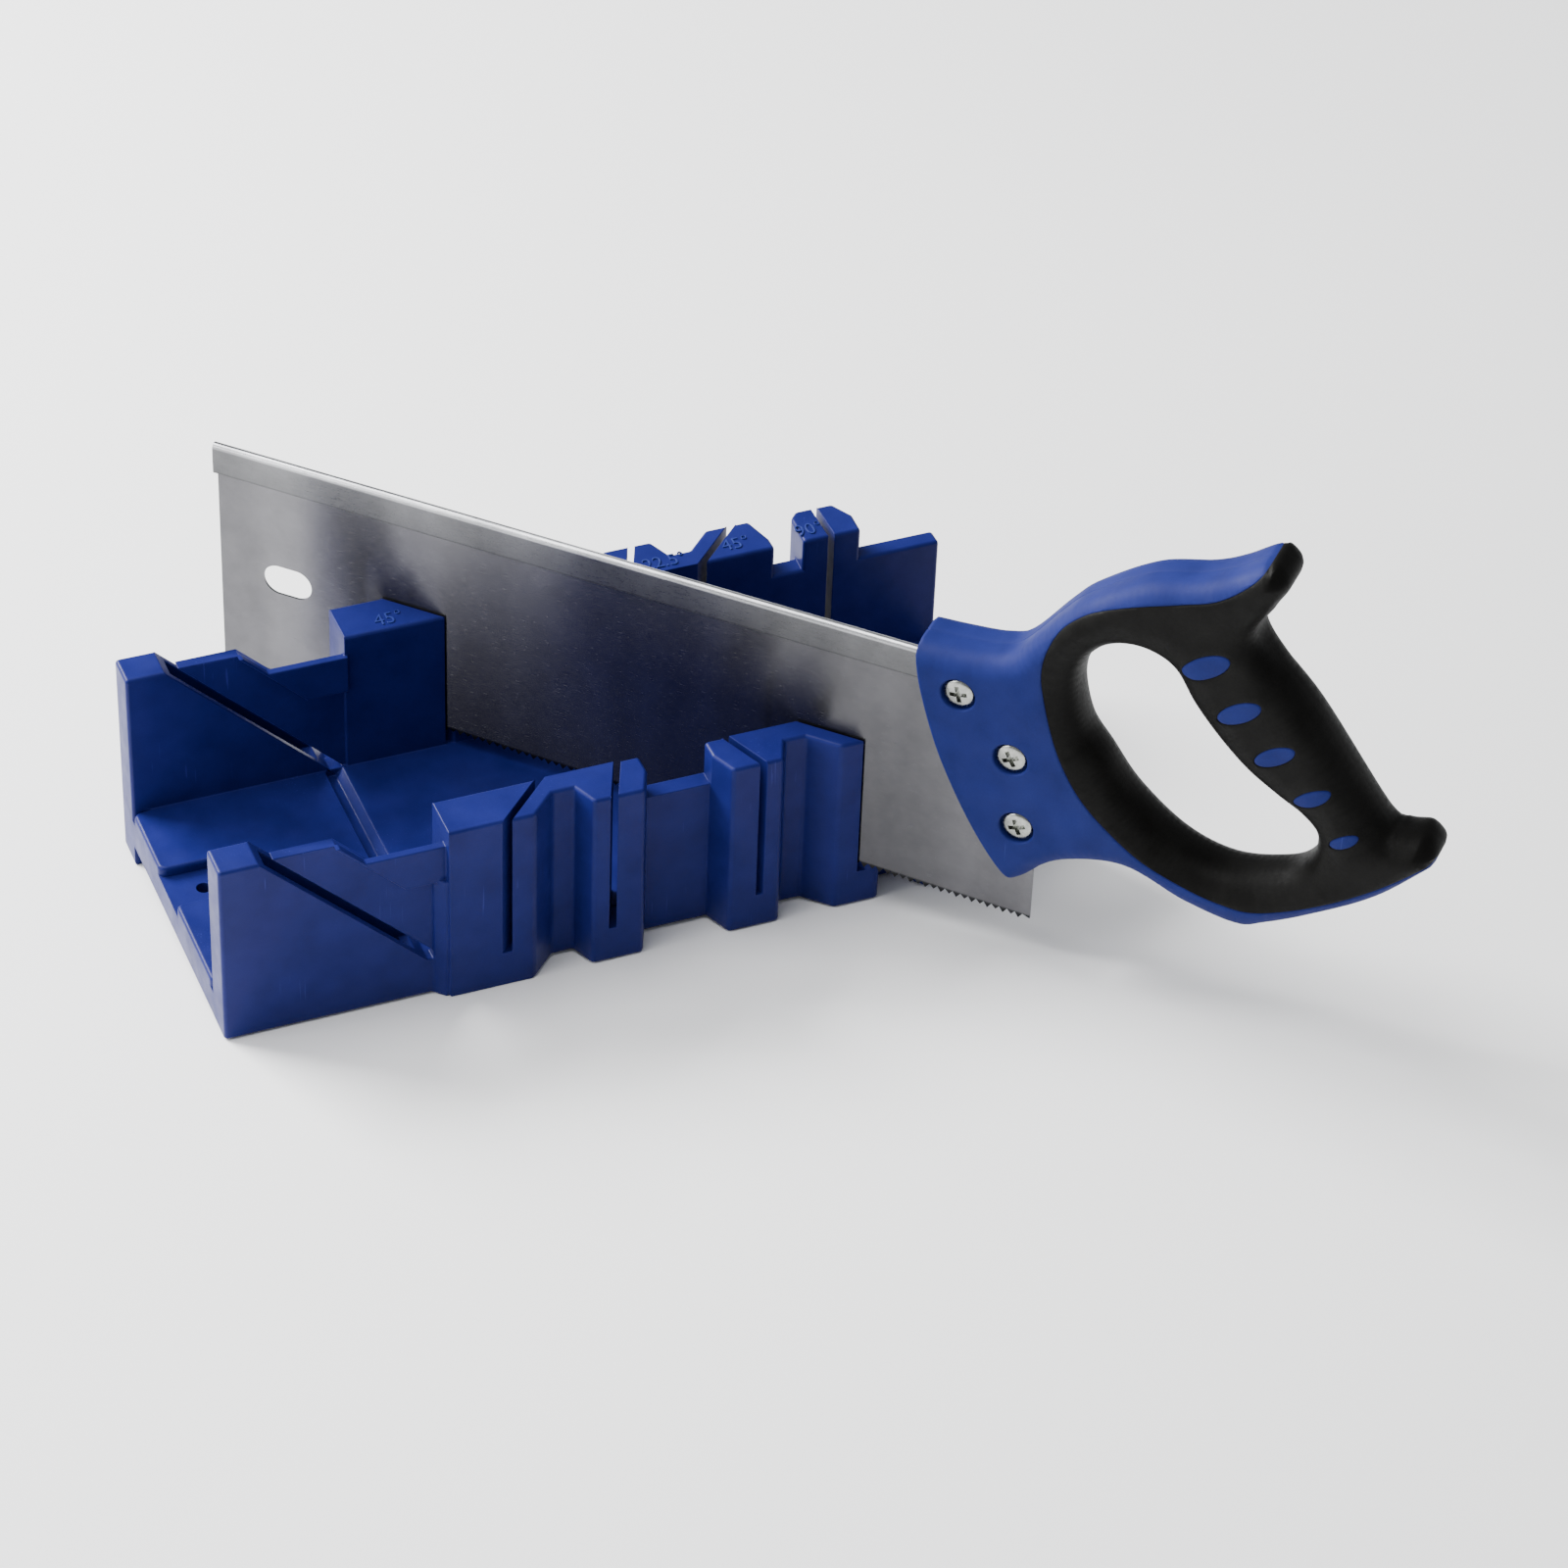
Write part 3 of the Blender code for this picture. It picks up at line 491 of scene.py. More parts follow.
def side_of(line, closed=True):
    """Unit vectors to the left of a line's direction at each of its points."""
    if closed:
        run = np.roll(line, -1, axis=0) - np.roll(line, 1, axis=0)
    else:
        run = np.gradient(line, axis=0)
    run /= np.sqrt((run**2).sum(1))[:, None]
    return np.stack([-run[:, 1], run[:, 0]], axis=1)


def falls(distances, radii):
    """How far rims of these radii have dropped at these distances from their edges."""
    short = np.clip(radii - distances, 0.0, None)
    return radii - np.sqrt(np.clip(radii**2 - short**2, 0.0, None))


def outline_radii(outline):
    """The rim's radius along each piece of the handle's outline."""
    middle = (outline + np.roll(outline, -1, axis=0)) / 2
    radii = np.array([rim_radius(along, up) for along, up in middle])
    back = np.clip((middle[:, 0] - BACK_START) / BACK_BLEND, 0.0, 1.0)
    back *= np.clip((BACK_SPAN[1] - middle[:, 1]) / BACK_BLEND, 0.0, 1.0)
    back *= np.clip((middle[:, 1] - BACK_SPAN[0]) / BACK_BLEND, 0.0, 1.0)
    return radii + (BACK_RIM - RIM) * back * (radii > RIM - 1e-6)


def side_lines():
    """Lines of the handle's side view: outline, hand hole, the soft cover's edge and the ovals."""
    outline = spaced(smooth_loop(HANDLE, 8), OUTLINE_GAP)
    hole = spaced(smooth_loop(HAND_HOLE, 8), OUTLINE_GAP)
    first = Vector(COVER_EDGE[0]) + Vector((0.0020, 0.0100))
    last = Vector(COVER_EDGE[-1]) + Vector((0.0080, 0.0060))
    loop = smooth_loop([(*first, True), *COVER_EDGE, (*last, True)], 6)
    edge = spaced(loop[: 6 * (len(COVER_EDGE) + 1)], EDGE_GAP, closed=False)
    held = np.flatnonzero(inside(edge, outline))
    edge = edge[held[0] : held[-1] + 1]
    for end in (0, -1):
        outline[np.argmin(((outline - edge[end]) ** 2).sum(1))] = edge[end]
    ovals = [
        spaced(circle((along, up), length / 2, width / 2, OVAL_TILT), OVAL_GAP)
        for along, up, length, width in OVALS
    ]
    sinks = [np.array(circle(place, SINK_LIP, SINK_LIP, 0.0)) for place in SCREWS.values()]
    return outline, hole, edge, ovals, sinks


def rim_points(line, radii):
    """Rings of points along a rounded rim, closer together where it falls off."""
    radii = np.minimum(radii, np.roll(radii, 1))
    rings = []
    turned_in = side_of(line)
    if not inside(line[:1] + 1e-5 * turned_in[:1], line)[0]:
        turned_in = -turned_in
    for turn in (18, 34, 48, 62, 76, 90):
        reach = radii * (1 - math.cos(math.radians(turn)))
        ring = line + turned_in * reach[:, None]
        rings.append(ring[away(ring, line).min(1) > 0.93 * reach])
    return rings


def side_filling(outline, hole, edge, rounds):
    """Points of the side view between its lines."""
    sets = rim_points(outline, outline_radii(outline))
    radii = np.full(len(hole), HOLE_RIM)
    turned_out = side_of(hole)
    if inside(hole[:1] + 1e-5 * turned_out[:1], hole)[0]:
        turned_out = -turned_out
    for turn in (15, 28, 40, 52, 64, 77, 90):
        reach = radii * (1 - math.cos(math.radians(turn)))
        ring = hole + turned_out * reach[:, None]
        sets.append(ring[away(ring, hole).min(1) > 0.93 * reach])
    gap = FILL_GAP
    columns, rows = FILL_COUNT
    middle = []
    for row in range(rows):
        along = FILL_START[0] + np.arange(columns) * gap + (row % 2) * gap / 2
        up = np.full(columns, FILL_START[1] + row * gap * 0.87)
        middle.append(np.stack([along, up], axis=1))
    middle = np.concatenate(middle)
    clear = (away(middle, outline) - outline_radii(outline)[None]).min(1) > FILL_CLEAR
    clear &= away(middle, hole).min(1) > HOLE_RIM + FILL_CLEAR
    filling = np.concatenate([*sets, middle[clear]])
    filling = filling[inside(filling, outline) & ~inside(filling, hole)]
    for line in (outline, hole):
        filling = filling[away(filling, line).min(1) > 0.00012]
    beside = []
    for line, closed in ((edge, False), *((ring, True) for ring in rounds)):
        filling = filling[away(filling, line, closed).min(1) > FILL_CLEAR]
        left = side_of(line, closed) * SEAM_HALF
        trim = slice(None) if closed else slice(3, -3)
        beside += [(line + left)[trim], (line - left)[trim]]
    thinned = {}
    for point in filling:
        thinned.setdefault((round(point[0] / 0.0004), round(point[1] / 0.0004)), point)
    return np.concatenate([np.array(list(thinned.values())), *beside])


def handle_pieces():
    """The hard shell with its ovals and the soft cover, whose surfaces meet in fine grooves."""
    outline, hole, edge, ovals, sinks = side_lines()
    lines = [outline, hole, *ovals, *sinks]
    filling = side_filling(outline, hole, edge, ovals + sinks)
    points = np.concatenate([*lines, edge, filling])
    links = []
    start = 0
    for line in lines:
        numbers = [start + i for i in range(len(line))]
        links += list(zip(numbers, numbers[1:] + numbers[:1]))
        start += len(line)
    links += [(start + i, start + i + 1) for i in range(len(edge) - 1)]
    found = delaunay_2d_cdt([Vector(point) for point in points], links, [], 0, 1e-6)
    places = np.array([tuple(point) for point in found[0]])
    faces = np.array([face for face in found[2] if len(face) == 3])
    middle = places[faces].mean(1)
    held = inside(middle, outline) & ~inside(middle, hole)
    for ring in sinks:
        held &= ~inside(middle, ring)
    faces, middle = faces[held], middle[held]
    beyond = np.array([(0.2400, 0.1050), (0.2400, 0.2250), (0.1400, 0.2250)])
    covered = inside(middle, np.concatenate([edge, beyond]))
    for ring in ovals:
        covered &= ~inside(middle, ring)
    rim = away(places, outline).min(1) < ON_LINE
    rim |= away(places, hole).min(1) < ON_LINE
    heights = side_heights(places, faces, outline, hole, edge, ovals)
    shell = both_sides("handle_shell", places, heights, faces[~covered], rim, PARTING_DEPTH)
    cover = both_sides("grip_cover", places, heights, faces[covered], rim, 0.0)
    join_meshes(shell, [cup(place, side) for place in SCREWS.values() for side in (-1, 1)])
    return shell, cover


def cup(centre, side):
    """The wall and floor of a screw's counterbore, from its rounded lip inwards."""
    stations = [(SINK_LIP, HANDLE_HALF)]
    for turn in (30, 60, 90):
        bend = math.radians(turn)
        radius = SINK_RADIUS + (SINK_LIP - SINK_RADIUS) * (1 - math.sin(bend))
        stations.append((radius, HANDLE_HALF - (SINK_LIP - SINK_RADIUS) * (1 - math.cos(bend))))
    stations.append((SINK_RADIUS, HANDLE_HALF - SINK_DEPTH + 0.0003))
    stations.append((SINK_RADIUS - 0.0003, HANDLE_HALF - SINK_DEPTH))
    stations.append((SHANK_RADIUS, HANDLE_HALF - SINK_DEPTH))
    shape = bmesh.new()
    rings = []
    for radius, across in stations:
        ring = circle(centre, radius, radius, 0.0)
        rings.append([shape.verts.new((u, side * across, v)) for u, v in ring])
    for low, high in zip(rings, rings[1:]):
        for i in range(ROUND_SIDES):
            j = (i + 1) % ROUND_SIDES
            quad = (low[i], low[j], high[j], high[i])
            shape.faces.new(quad if side > 0 else quad[::-1])
    mesh = bpy.data.meshes.new("cup")
    shape.to_mesh(mesh)
    shape.free()
    return mesh


def join_meshes(made, meshes):
    """Adds the meshes to the object, merging the points that they share."""
    shape = bmesh.new()
    shape.from_mesh(made.data)
    for mesh in meshes:
        shape.from_mesh(mesh)
        bpy.data.meshes.remove(mesh)
    bmesh.ops.remove_doubles(shape, verts=shape.verts, dist=1e-5)
    shape.to_mesh(made.data)
    shape.free()
    smooth(made, 55)


def side_heights(places, faces, outline, hole, edge, ovals):
    """How far each point of the side view stands out from the middle plane."""
    drops = falls(away(places, outline), outline_radii(outline)[None]).max(1)
    drops = (drops**3 + falls(away(places, hole), HOLE_RIM).max(1) ** 3) ** (1 / 3)
    heights = HANDLE_HALF - drops
    to_rim = np.minimum(away(places, outline).min(1), away(places, hole).min(1))
    free = to_rim > STEADY_RIM
    pairs = np.concatenate([faces[:, [0, 1]], faces[:, [1, 2]], faces[:, [2, 0]]])
    weight = 1 / ((places[pairs[:, 0]] - places[pairs[:, 1]]) ** 2).sum(1)
    whole = np.bincount(pairs[:, 0], weight, len(places))
    whole += np.bincount(pairs[:, 1], weight, len(places))
    whole = np.where(whole > 0, whole, 1.0)
    for _ in range(SMOOTH_ROUNDS):
        total = np.bincount(pairs[:, 0], weight * heights[pairs[:, 1]], len(places))
        total += np.bincount(pairs[:, 1], weight * heights[pairs[:, 0]], len(places))
        heights = np.where(free, 0.5 * heights + 0.5 * total / whole, heights)
    seam = away(places, edge, closed=False).min(1) < ON_LINE
    for ring in ovals:
        seam |= away(places, ring).min(1) < ON_LINE
    return np.maximum(heights - SEAM_DEPTH * seam, LEAST_HALF)


def both_sides(name, places, heights, faces, rim, groove_depth):
    """Near and far surfaces over some faces of the side view, joined by bands round the rims."""
    used = np.unique(faces)
    shape = bmesh.new()
    near = {}
    far = {}
    for i in used:
        u, v = places[i]
        near[i] = shape.verts.new((u, -heights[i], v))
        far[i] = shape.verts.new((u, heights[i], v))
    sides = {}
    for a, b, c in faces:
        shape.faces.new((near[a], near[b], near[c]))
        shape.faces.new((far[c], far[b], far[a]))
        for pair, third in (((a, b), c), ((b, c), a), ((c, a), b)):
            sides[pair] = third
    edges = [pair for pair in sides if pair[::-1] not in sides and rim[list(pair)].all()]
    outward = {}
    for a, b in edges:
        run = places[b] - places[a]
        across = np.array((run[1], -run[0]))
        across *= -np.sign(across @ (places[sides[(a, b)]] - places[a]))
        across /= np.sqrt(across @ across)
        for i in (a, b):
            outward[i] = outward.get(i, 0.0) + across
    bands = {}
    for i, across in outward.items():
        u, v = places[i] - across / np.sqrt(across @ across) * groove_depth
        groove = shape.verts.new((u, 0.0, v))
        u, v = places[i]
        lips = [shape.verts.new((u, side * SEAM_HALF, v)) for side in (-1, 1)]
        bands[i] = [near[i], lips[0], groove, lips[1], far[i]]
    for a, b in edges:
        for k in range(4):
            shape.faces.new((bands[b][k], bands[a][k], bands[a][k + 1], bands[b][k + 1]))
    return smooth(new_object(name, shape), 55)


# --- Saw pieces ----------------------------------------------------------------------------------
def toothed_blade():
    """The plate, with its teeth bent alternately to each side."""
    count = int((HEEL - TOE) / TOOTH_PITCH)
    roots = []
    tips = []
    for i in range(count + 1):
        root = TOE + i * TOOTH_PITCH
        roots.append((root, tooth_line(root) + TOOTH_DEPTH))
    for i in range(count):
        tip = TOE + (i + 0.5) * TOOTH_PITCH
        tips.append((tip, tooth_line(tip)))
    rest = [(HEEL, tooth_line(HEEL) + TOOTH_DEPTH / 2), *TANG_FOOT]
    rest += [(TANG_END, PLATE_TOP), (TOE, PLATE_TOP)]
    half = BLADE_THICKNESS / 2
    plate_part = prism("saw_plate", roots + rest, -half, half)
    along, up, length, width = HANGING_HOLE
    straight = (length - width) / 2
    slot = []
    for i in range(ROUND_SIDES):
        turn = 2 * math.pi * (i + 0.5) / ROUND_SIDES
        side = math.copysign(straight, math.cos(turn))
        slot.append((along + side + width / 2 * math.cos(turn), up + width / 2 * math.sin(turn)))
    cut_all(plate_part, [prism("hanging", slot, -0.002, 0.002)])
    shape = bmesh.new()
    shape.from_mesh(plate_part.data)
    bpy.data.objects.remove(plate_part, do_unlink=True)
    for i, (tip, low) in enumerate(tips):
        bend = TOOTH_SET * (1 if i % 2 else -1)
        corners = []
        for side in (-half, half):
            corners.append(shape.verts.new((roots[i][0], side, roots[i][1] + 0.0001)))
            corners.append(shape.verts.new((roots[i + 1][0], side, roots[i + 1][1] + 0.0001)))
        points = [shape.verts.new((tip, side * TIP_SHARE + bend, low)) for side in (-half, half)]
        near_a, near_b, far_a, far_b = corners
        shape.faces.new((near_a, near_b, points[0]))
        shape.faces.new((far_b, far_a, points[1]))
        shape.faces.new((near_a, points[0], points[1], far_a))
        shape.faces.new((near_b, far_b, points[1], points[0]))
        shape.faces.new((near_a, far_a, far_b, near_b))
    made = new_object("saw_plate", shape)
    return smooth(made, 30)


def folded_spine():
    """Steel strip folded over the blade's back."""
    half = SPINE_THICKNESS / 2
    slit = BLADE_THICKNESS / 2 + SPINE_GAP
    lip = SPINE_LIP
    top = SPINE_TOP - half
    steps = 20
    section = [(-half + lip, SPINE_FOOT), (-half, SPINE_FOOT + lip), (-half, top)]
    for i in range(1, steps):
        turn = math.pi - math.pi * i / steps
        section.append((half * math.cos(turn), top + half * math.sin(turn)))
    section += [(half, top), (half, SPINE_FOOT + lip), (half - lip, SPINE_FOOT)]
    section += [(slit, SPINE_FOOT), (slit, SLIT_TOP), (-slit, SLIT_TOP)]
    section.append((-slit, SPINE_FOOT))
    shape = bmesh.new()
    rings = []
    for along in (SPINE_START, -0.14, -0.03, SPINE_END):
        rings.append([shape.verts.new((along, across, up)) for across, up in section])
    for low, high in zip(rings, rings[1:]):
        for i in range(len(section)):
            j = (i + 1) % len(section)
            shape.faces.new((low[i], low[j], high[j], high[i]))
    shape.faces.new(rings[0])
    shape.faces.new(rings[-1])
    return smooth(new_object("folded_spine", shape), 30)


def lathe(name, centre, stations):
    """A solid turned about a Y line, from (radius, y) stations with the first and last on it."""
    shape = bmesh.new()
    ends = [shape.verts.new((centre[0], stations[i][1], centre[1])) for i in (0, -1)]
    rings = []
    for radius, across in stations[1:-1]:
        ring = circle(centre, radius, radius, 0.0)
        rings.append([shape.verts.new((u, across, v)) for u, v in ring])
    for i in range(ROUND_SIDES):
        j = (i + 1) % ROUND_SIDES
        shape.faces.new((ends[0], rings[0][i], rings[0][j]))
        shape.faces.new((ends[1], rings[-1][j], rings[-1][i]))
        for low, high in zip(rings, rings[1:]):
            shape.faces.new((low[i], low[j], high[j], high[i]))
    return new_object(name, shape)


def domed(name, centre, side):
    """A domed head on a short shank, seated in the cheek."""
    seat = HANDLE_HALF - SINK_DEPTH + SEAT_GAP
    stations = [(0.0, SHANK_START), (SHANK_RADIUS, SHANK_START), (SHANK_RADIUS, seat)]
    stations += [(HEAD_RADIUS - 0.0001, seat), (HEAD_RADIUS, seat + 0.0002)]
    stations.append((HEAD_RADIUS, seat + HEAD_BRIM))
    for i in range(1, 9):
        turn = math.radians(90 * i / 9)
        radius = HEAD_RADIUS * math.cos(turn) ** 0.8
        stations.append((radius, seat + HEAD_BRIM + DOME_RISE * math.sin(turn)))
    stations.append((0.0, seat + HEAD_HEIGHT - 0.0001))
    return lathe(name, centre, [(radius, side * across) for radius, across in stations])


def cross_recess(centre, tilt):
    """A cross-shaped driver recess that narrows as it goes in."""
    ends = ((*CROSS_MOUTH, -HANDLE_HALF), (*CROSS_FOOT, CROSS_DEPTH - HANDLE_HALF))
    cutters = []
    for turn in (tilt, tilt + 90):
        shape = bmesh.new()
        rings = []
        for length, width, across in ends:
            ring = []
            for u, v in ((-1, -1), (1, -1), (1, 1), (-1, 1)):
                offset = Vector((u * length, v * width))
                offset.rotate(Matrix.Rotation(math.radians(turn), 2))
                ring.append(shape.verts.new((centre[0] + offset.x, across, centre[1] + offset.y)))
            rings.append(ring)
        for i in range(4):
            j = (i + 1) % 4
            shape.faces.new((rings[0][i], rings[0][j], rings[1][j], rings[1][i]))
        shape.faces.new(rings[0])
        shape.faces.new(rings[1])
        cutters.append(new_object("recess", shape))
    return cutters


def fasteners():
    """Screws with a driver cross on the near cheek and plain nuts on the far one."""
    made = {}
    for label, centre in SCREWS.items():
        screw = domed(f"screw_{label}", centre, -1)
        cut_all(screw, cross_recess(centre, SCREW_TURNS[label]))
        made[f"handle_screw_{label}"] = smooth(screw, 35)
        made[f"sleeve_nut_{label}"] = smooth(domed(f"nut_{label}", centre, 1), 35)
    return made


# --- Materials -----------------------------------------------------------------------------------
class Finish:
    """A material's node tree, with short calls to add to it."""

    def __init__(self, name, **values):
        self.made = bpy.data.materials.new(name)
        self.made.use_nodes = True
        self.tree = self.made.node_tree
        self.shader = self.tree.nodes["Principled BSDF"]
        for socket, value in values.items():
            self.shader.inputs[socket.replace("_", " ")].default_value = value

    def node(self, kind, **settings):
        made = self.tree.nodes.new(kind)
        for name, value in settings.items():
            setattr(made, name, value)
        return made

    def link(self, source, target):
        self.tree.links.new(source, target)

    def coordinates(self, scale):
        """Object coordinates, scaled."""
        place = self.node("ShaderNodeTexCoord")
        mapping = self.node("ShaderNodeMapping")
        mapping.inputs["Scale"].default_value = scale
        self.link(place.outputs["Object"], mapping.inputs["Vector"])
        return mapping.outputs["Vector"]

    def grain(self, size, detail=2.0, stretch=(1.0, 1.0, 1.0), roughness=0.5):
        """Noise whose features are about this size in metres."""
        texture = self.node("ShaderNodeTexNoise")
        texture.inputs["Scale"].default_value = 1.0
        texture.inputs["Detail"].default_value = detail
        texture.inputs["Roughness"].default_value = roughness
        self.link(self.coordinates([axis / size for axis in stretch]), texture.inputs["Vector"])
        return texture.outputs["Fac"]

    def height(self, lean, low, span):
        """0 to 1 over a span of object height, above a line that falls by the lean along X."""
        place = self.node("ShaderNodeTexCoord")
        above = self.node("ShaderNodeVectorMath", operation="DOT_PRODUCT")
        above.inputs[1].default_value = (lean, 0.0, 1.0)
        self.link(place.outputs["Object"], above.inputs[0])
        share = self.node("ShaderNodeMath", operation="MULTIPLY_ADD")
        share.inputs[1].default_value = 1 / span
        share.inputs[2].default_value = -low / span
        self.link(above.outputs["Value"], share.inputs[0])
        return share.outputs[0]

    def ramp(self, source, stops):
        """Colours or greys across a range of the source."""
        made = self.node("ShaderNodeValToRGB")
        points = made.color_ramp.elements
        while len(points) < len(stops):
            points.new(0.5)
        for point, (place, colour) in zip(points, stops):
            point.position = place
            point.color = (*colour, 1.0) if isinstance(colour, tuple) else (colour,) * 3 + (1.0,)
        self.link(source, made.inputs["Fac"])
        return made.outputs["Color"]

    def mix(self, share, first, second, blend="MIX"):
        made = self.node("ShaderNodeMix", data_type="RGBA", blend_type=blend)
        for socket, value in (("Factor", share), ("A", first), ("B", second)):
            target = [s for s in made.inputs if s.name == socket and s.enabled][0]
            if isinstance(value, (float, tuple)):
                target.default_value = value if isinstance(value, float) else (*value, 1.0)
            else:
                self.link(value, target)
        return [s for s in made.outputs if s.enabled][0]

    def bump(self, height, distance, strength=1.0, after=None):
        made = self.node("ShaderNodeBump")
        made.inputs["Strength"].default_value = strength
        made.inputs["Distance"].default_value = distance
        self.link(height, made.inputs["Height"])
        if after:
            self.link(after, made.inputs["Normal"])
        return made.outputs["Normal"]

    def paint(self, colour=None, roughness=None, normal=None):
        for name, source in (("Base Color", colour), ("Roughness", roughness), ("Normal", normal)):
            if source:
                self.link(source, self.shader.inputs[name])
        return self.made


def plastic(name, colour, rough, gloss):
    """Satin moulded plastic with a fine grain and slight mottling."""
    finish = Finish(name, Specular_IOR_Level=gloss)
    low = tuple(0.86 * part for part in colour)
    high = tuple(min(1.12 * part + 0.002, 1.0) for part in colour)
    mottle = finish.ramp(finish.grain(0.014, 4.0), [(0.3, low), (0.7, high)])
    speck = finish.ramp(finish.grain(0.0004, 1.0), [(0.35, 0.90), (0.65, 1.0)])
    shade_of = finish.mix(1.0, mottle, speck, "MULTIPLY")
    scuff = finish.ramp(
        finish.grain(0.006, 6.0, (0.25, 3.0, 1.0), 0.75), [(0.66, 0.0), (0.80, 1.0)]
    )
    pale = tuple(min(part * 1.5 + 0.01, 1.0) for part in colour)
    lines = finish.ramp(finish.grain(0.0007, 1.0, (1.0, 1.0, 0.035)), [(0.70, 0.0), (0.74, 1.0)])
    patch = finish.ramp(finish.grain(0.030, 1.0), [(0.56, 0.0), (0.66, 1.0)])
    marks = finish.mix(1.0, lines, patch, "MULTIPLY")
    share = finish.node("ShaderNodeMath", operation="MULTIPLY_ADD")
    share.inputs[1].default_value = 0.22
    finish.link(scuff, share.inputs[0])
    finish.link(marks, share.inputs[2])
    share.use_clamp = True
    colour_out = finish.mix(share.outputs[0], shade_of, pale)
    rough_out = finish.ramp(finish.grain(0.009, 5.0), [(0.3, rough - 0.05), (0.7, rough + 0.07)])
    normal = finish.bump(finish.grain(0.0005, 2.0), 0.000035, 0.8)
    normal = finish.bump(finish.grain(0.007, 2.0), 0.00006, 0.5, normal)
    return finish.paint(colour_out, rough_out, normal)


def steel(name, colour, rough, streak, line, stops):
    """Ground steel, smeared across its fine lengthwise grain and toned by height above a line:
    darker hardened teeth on the blade, and on the spine painted shade at its foot and a painted
    highlight along the fold's top.
    """
    finish = Finish(name, Metallic=1.0, Anisotropic=0.85, Anisotropic_Rotation=0.25)
    low = tuple(0.72 * part for part in colour)
    lines = finish.grain(streak, 4.0, (0.10, 1.0, 1.0), 0.6)
    stain = finish.ramp(finish.grain(0.045, 2.0, (1.0, 0.0, 0.12)), [(0.38, low), (0.62, colour)])
    fleck = finish.ramp(lines, [(0.3, 0.91), (0.65, 1.0)])
    cloud = finish.grain(0.011, 6.0, (1.0, 1.0, 1.0), 0.65)
    cloud = finish.ramp(cloud, [(0.35, 0.86), (0.62, 1.0)])
    tone = finish.mix(1.0, stain, fleck, "MULTIPLY")
    tone = finish.mix(1.0, tone, cloud, "MULTIPLY")
    # Tone by height: darker hardened teeth on the blade; on the spine, painted shade at the foot
    # and a painted highlight along the fold's top
    tone = finish.mix(1.0, tone, finish.ramp(finish.height(*line), stops), "MULTIPLY")
    rough_out = finish.ramp(lines, [(0.3, rough - 0.03), (0.7, rough + 0.03)])
    tangent = finish.node("ShaderNodeTangent", direction_type="RADIAL", axis="Z")
    finish.link(tangent.outputs["Tangent"], finish.shader.inputs["Tangent"])
    normal = finish.bump(lines, 0.0000006, 0.3)
    return finish.paint(tone, rough_out, normal)


def rubber(name, colour, rough):
    """Fine-grained soft overmould."""
    finish = Finish(name, Specular_IOR_Level=0.07)
    high = tuple(1.35 * part + 0.002 for part in colour)
    tone = finish.ramp(finish.grain(0.010, 4.0), [(0.3, colour), (0.7, high)])
    rough_out = finish.ramp(finish.grain(0.0012, 3.0), [(0.3, rough - 0.06), (0.7, rough + 0.06)])
    normal = finish.bump(finish.grain(0.00045, 2.0), 0.00006, 0.9)
    return finish.paint(tone, rough_out, normal)


def plated(name):
    """Bright plating, a little clouded."""
    finish = Finish(name, Metallic=1.0)
    tone = finish.ramp(finish.grain(0.0016, 4.0), [(0.3, PLATING[0]), (0.7, PLATING[1])])
    rough_out = finish.ramp(finish.grain(0.0009, 3.0), [(0.3, 0.16), (0.7, 0.32)])
    normal = finish.bump(finish.grain(0.0007, 2.0), 0.000006, 0.5)
    return finish.paint(tone, rough_out, normal)


# --- Putting it together -------------------------------------------------------------------------
def finished(made, material, body, node):
    """The piece with its material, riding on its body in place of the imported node."""
    made.data.materials.clear()
    made.data.materials.append(material)
    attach(made, body)
    if node:
        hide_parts(node)
    return made


blue = plastic("box_blue", BOX_BLUE, 0.36, 0.11)
# The digits' lighter blue is a painted highlight on their raised edges
digit_highlight = plastic("digit_highlight_blue", DIGIT_HIGHLIGHT_BLUE, 0.36, 0.16)
moulding = rounded_moulding("box_moulding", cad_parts["miter_box"])
finished(moulding, blue, "box", "miter_box")
for label, (text, along, depth) in NUMBERS.items():
    finished(raised_number(label, text, along, depth), digit_highlight, "box", None)

saw_place = Matrix.LocRotScale(
    Vector((LEFT + slot_at(ANGLES["right_45"], 0.0), FRONT, 0.0)),
    Matrix.Rotation(math.radians(-45), 3, "Z").to_quaternion(),
    None,
)
core, cover = handle_pieces()
teeth = (TOOTH_LINE_RISE, HEEL_TIP + TOOTH_LINE_RISE * HEEL, TEETH_BAND)
ground = steel("ground_steel", GROUND_STEEL, 0.25, 0.0004, teeth, TEETH_SHADES)
# The spine's painted shade and painted highlight run over its height, from the foot to the fold's
# top
fold = (0.0, SPINE_FOOT, SPINE_TOP - SPINE_FOOT)
strip = steel("strip_steel", STRIP_STEEL, 0.29, 0.0003, fold, SPINE_PAINTED_LIGHT)
saw_pieces = [
    (toothed_blade(), ground, "saw_blade", "blade_steel"),
    (folded_spine(), strip, "blade_spine", "spine_steel"),
    (core, plastic("handle_blue", HANDLE_BLUE, 0.60, 0.10), "handle_core", "core_plastic"),
    (cover, rubber("grip_black", GRIP_BLACK, 0.50), "handle_grip", "grip_rubber"),
]
plating = plated("plating")
for node, piece in fasteners().items():
    saw_pieces.append((piece, plating, node, "screw_steel"))
for piece, material, node, slot_name in saw_pieces:
    piece.matrix_world = saw_place
    finished(piece, material, "saw", node)


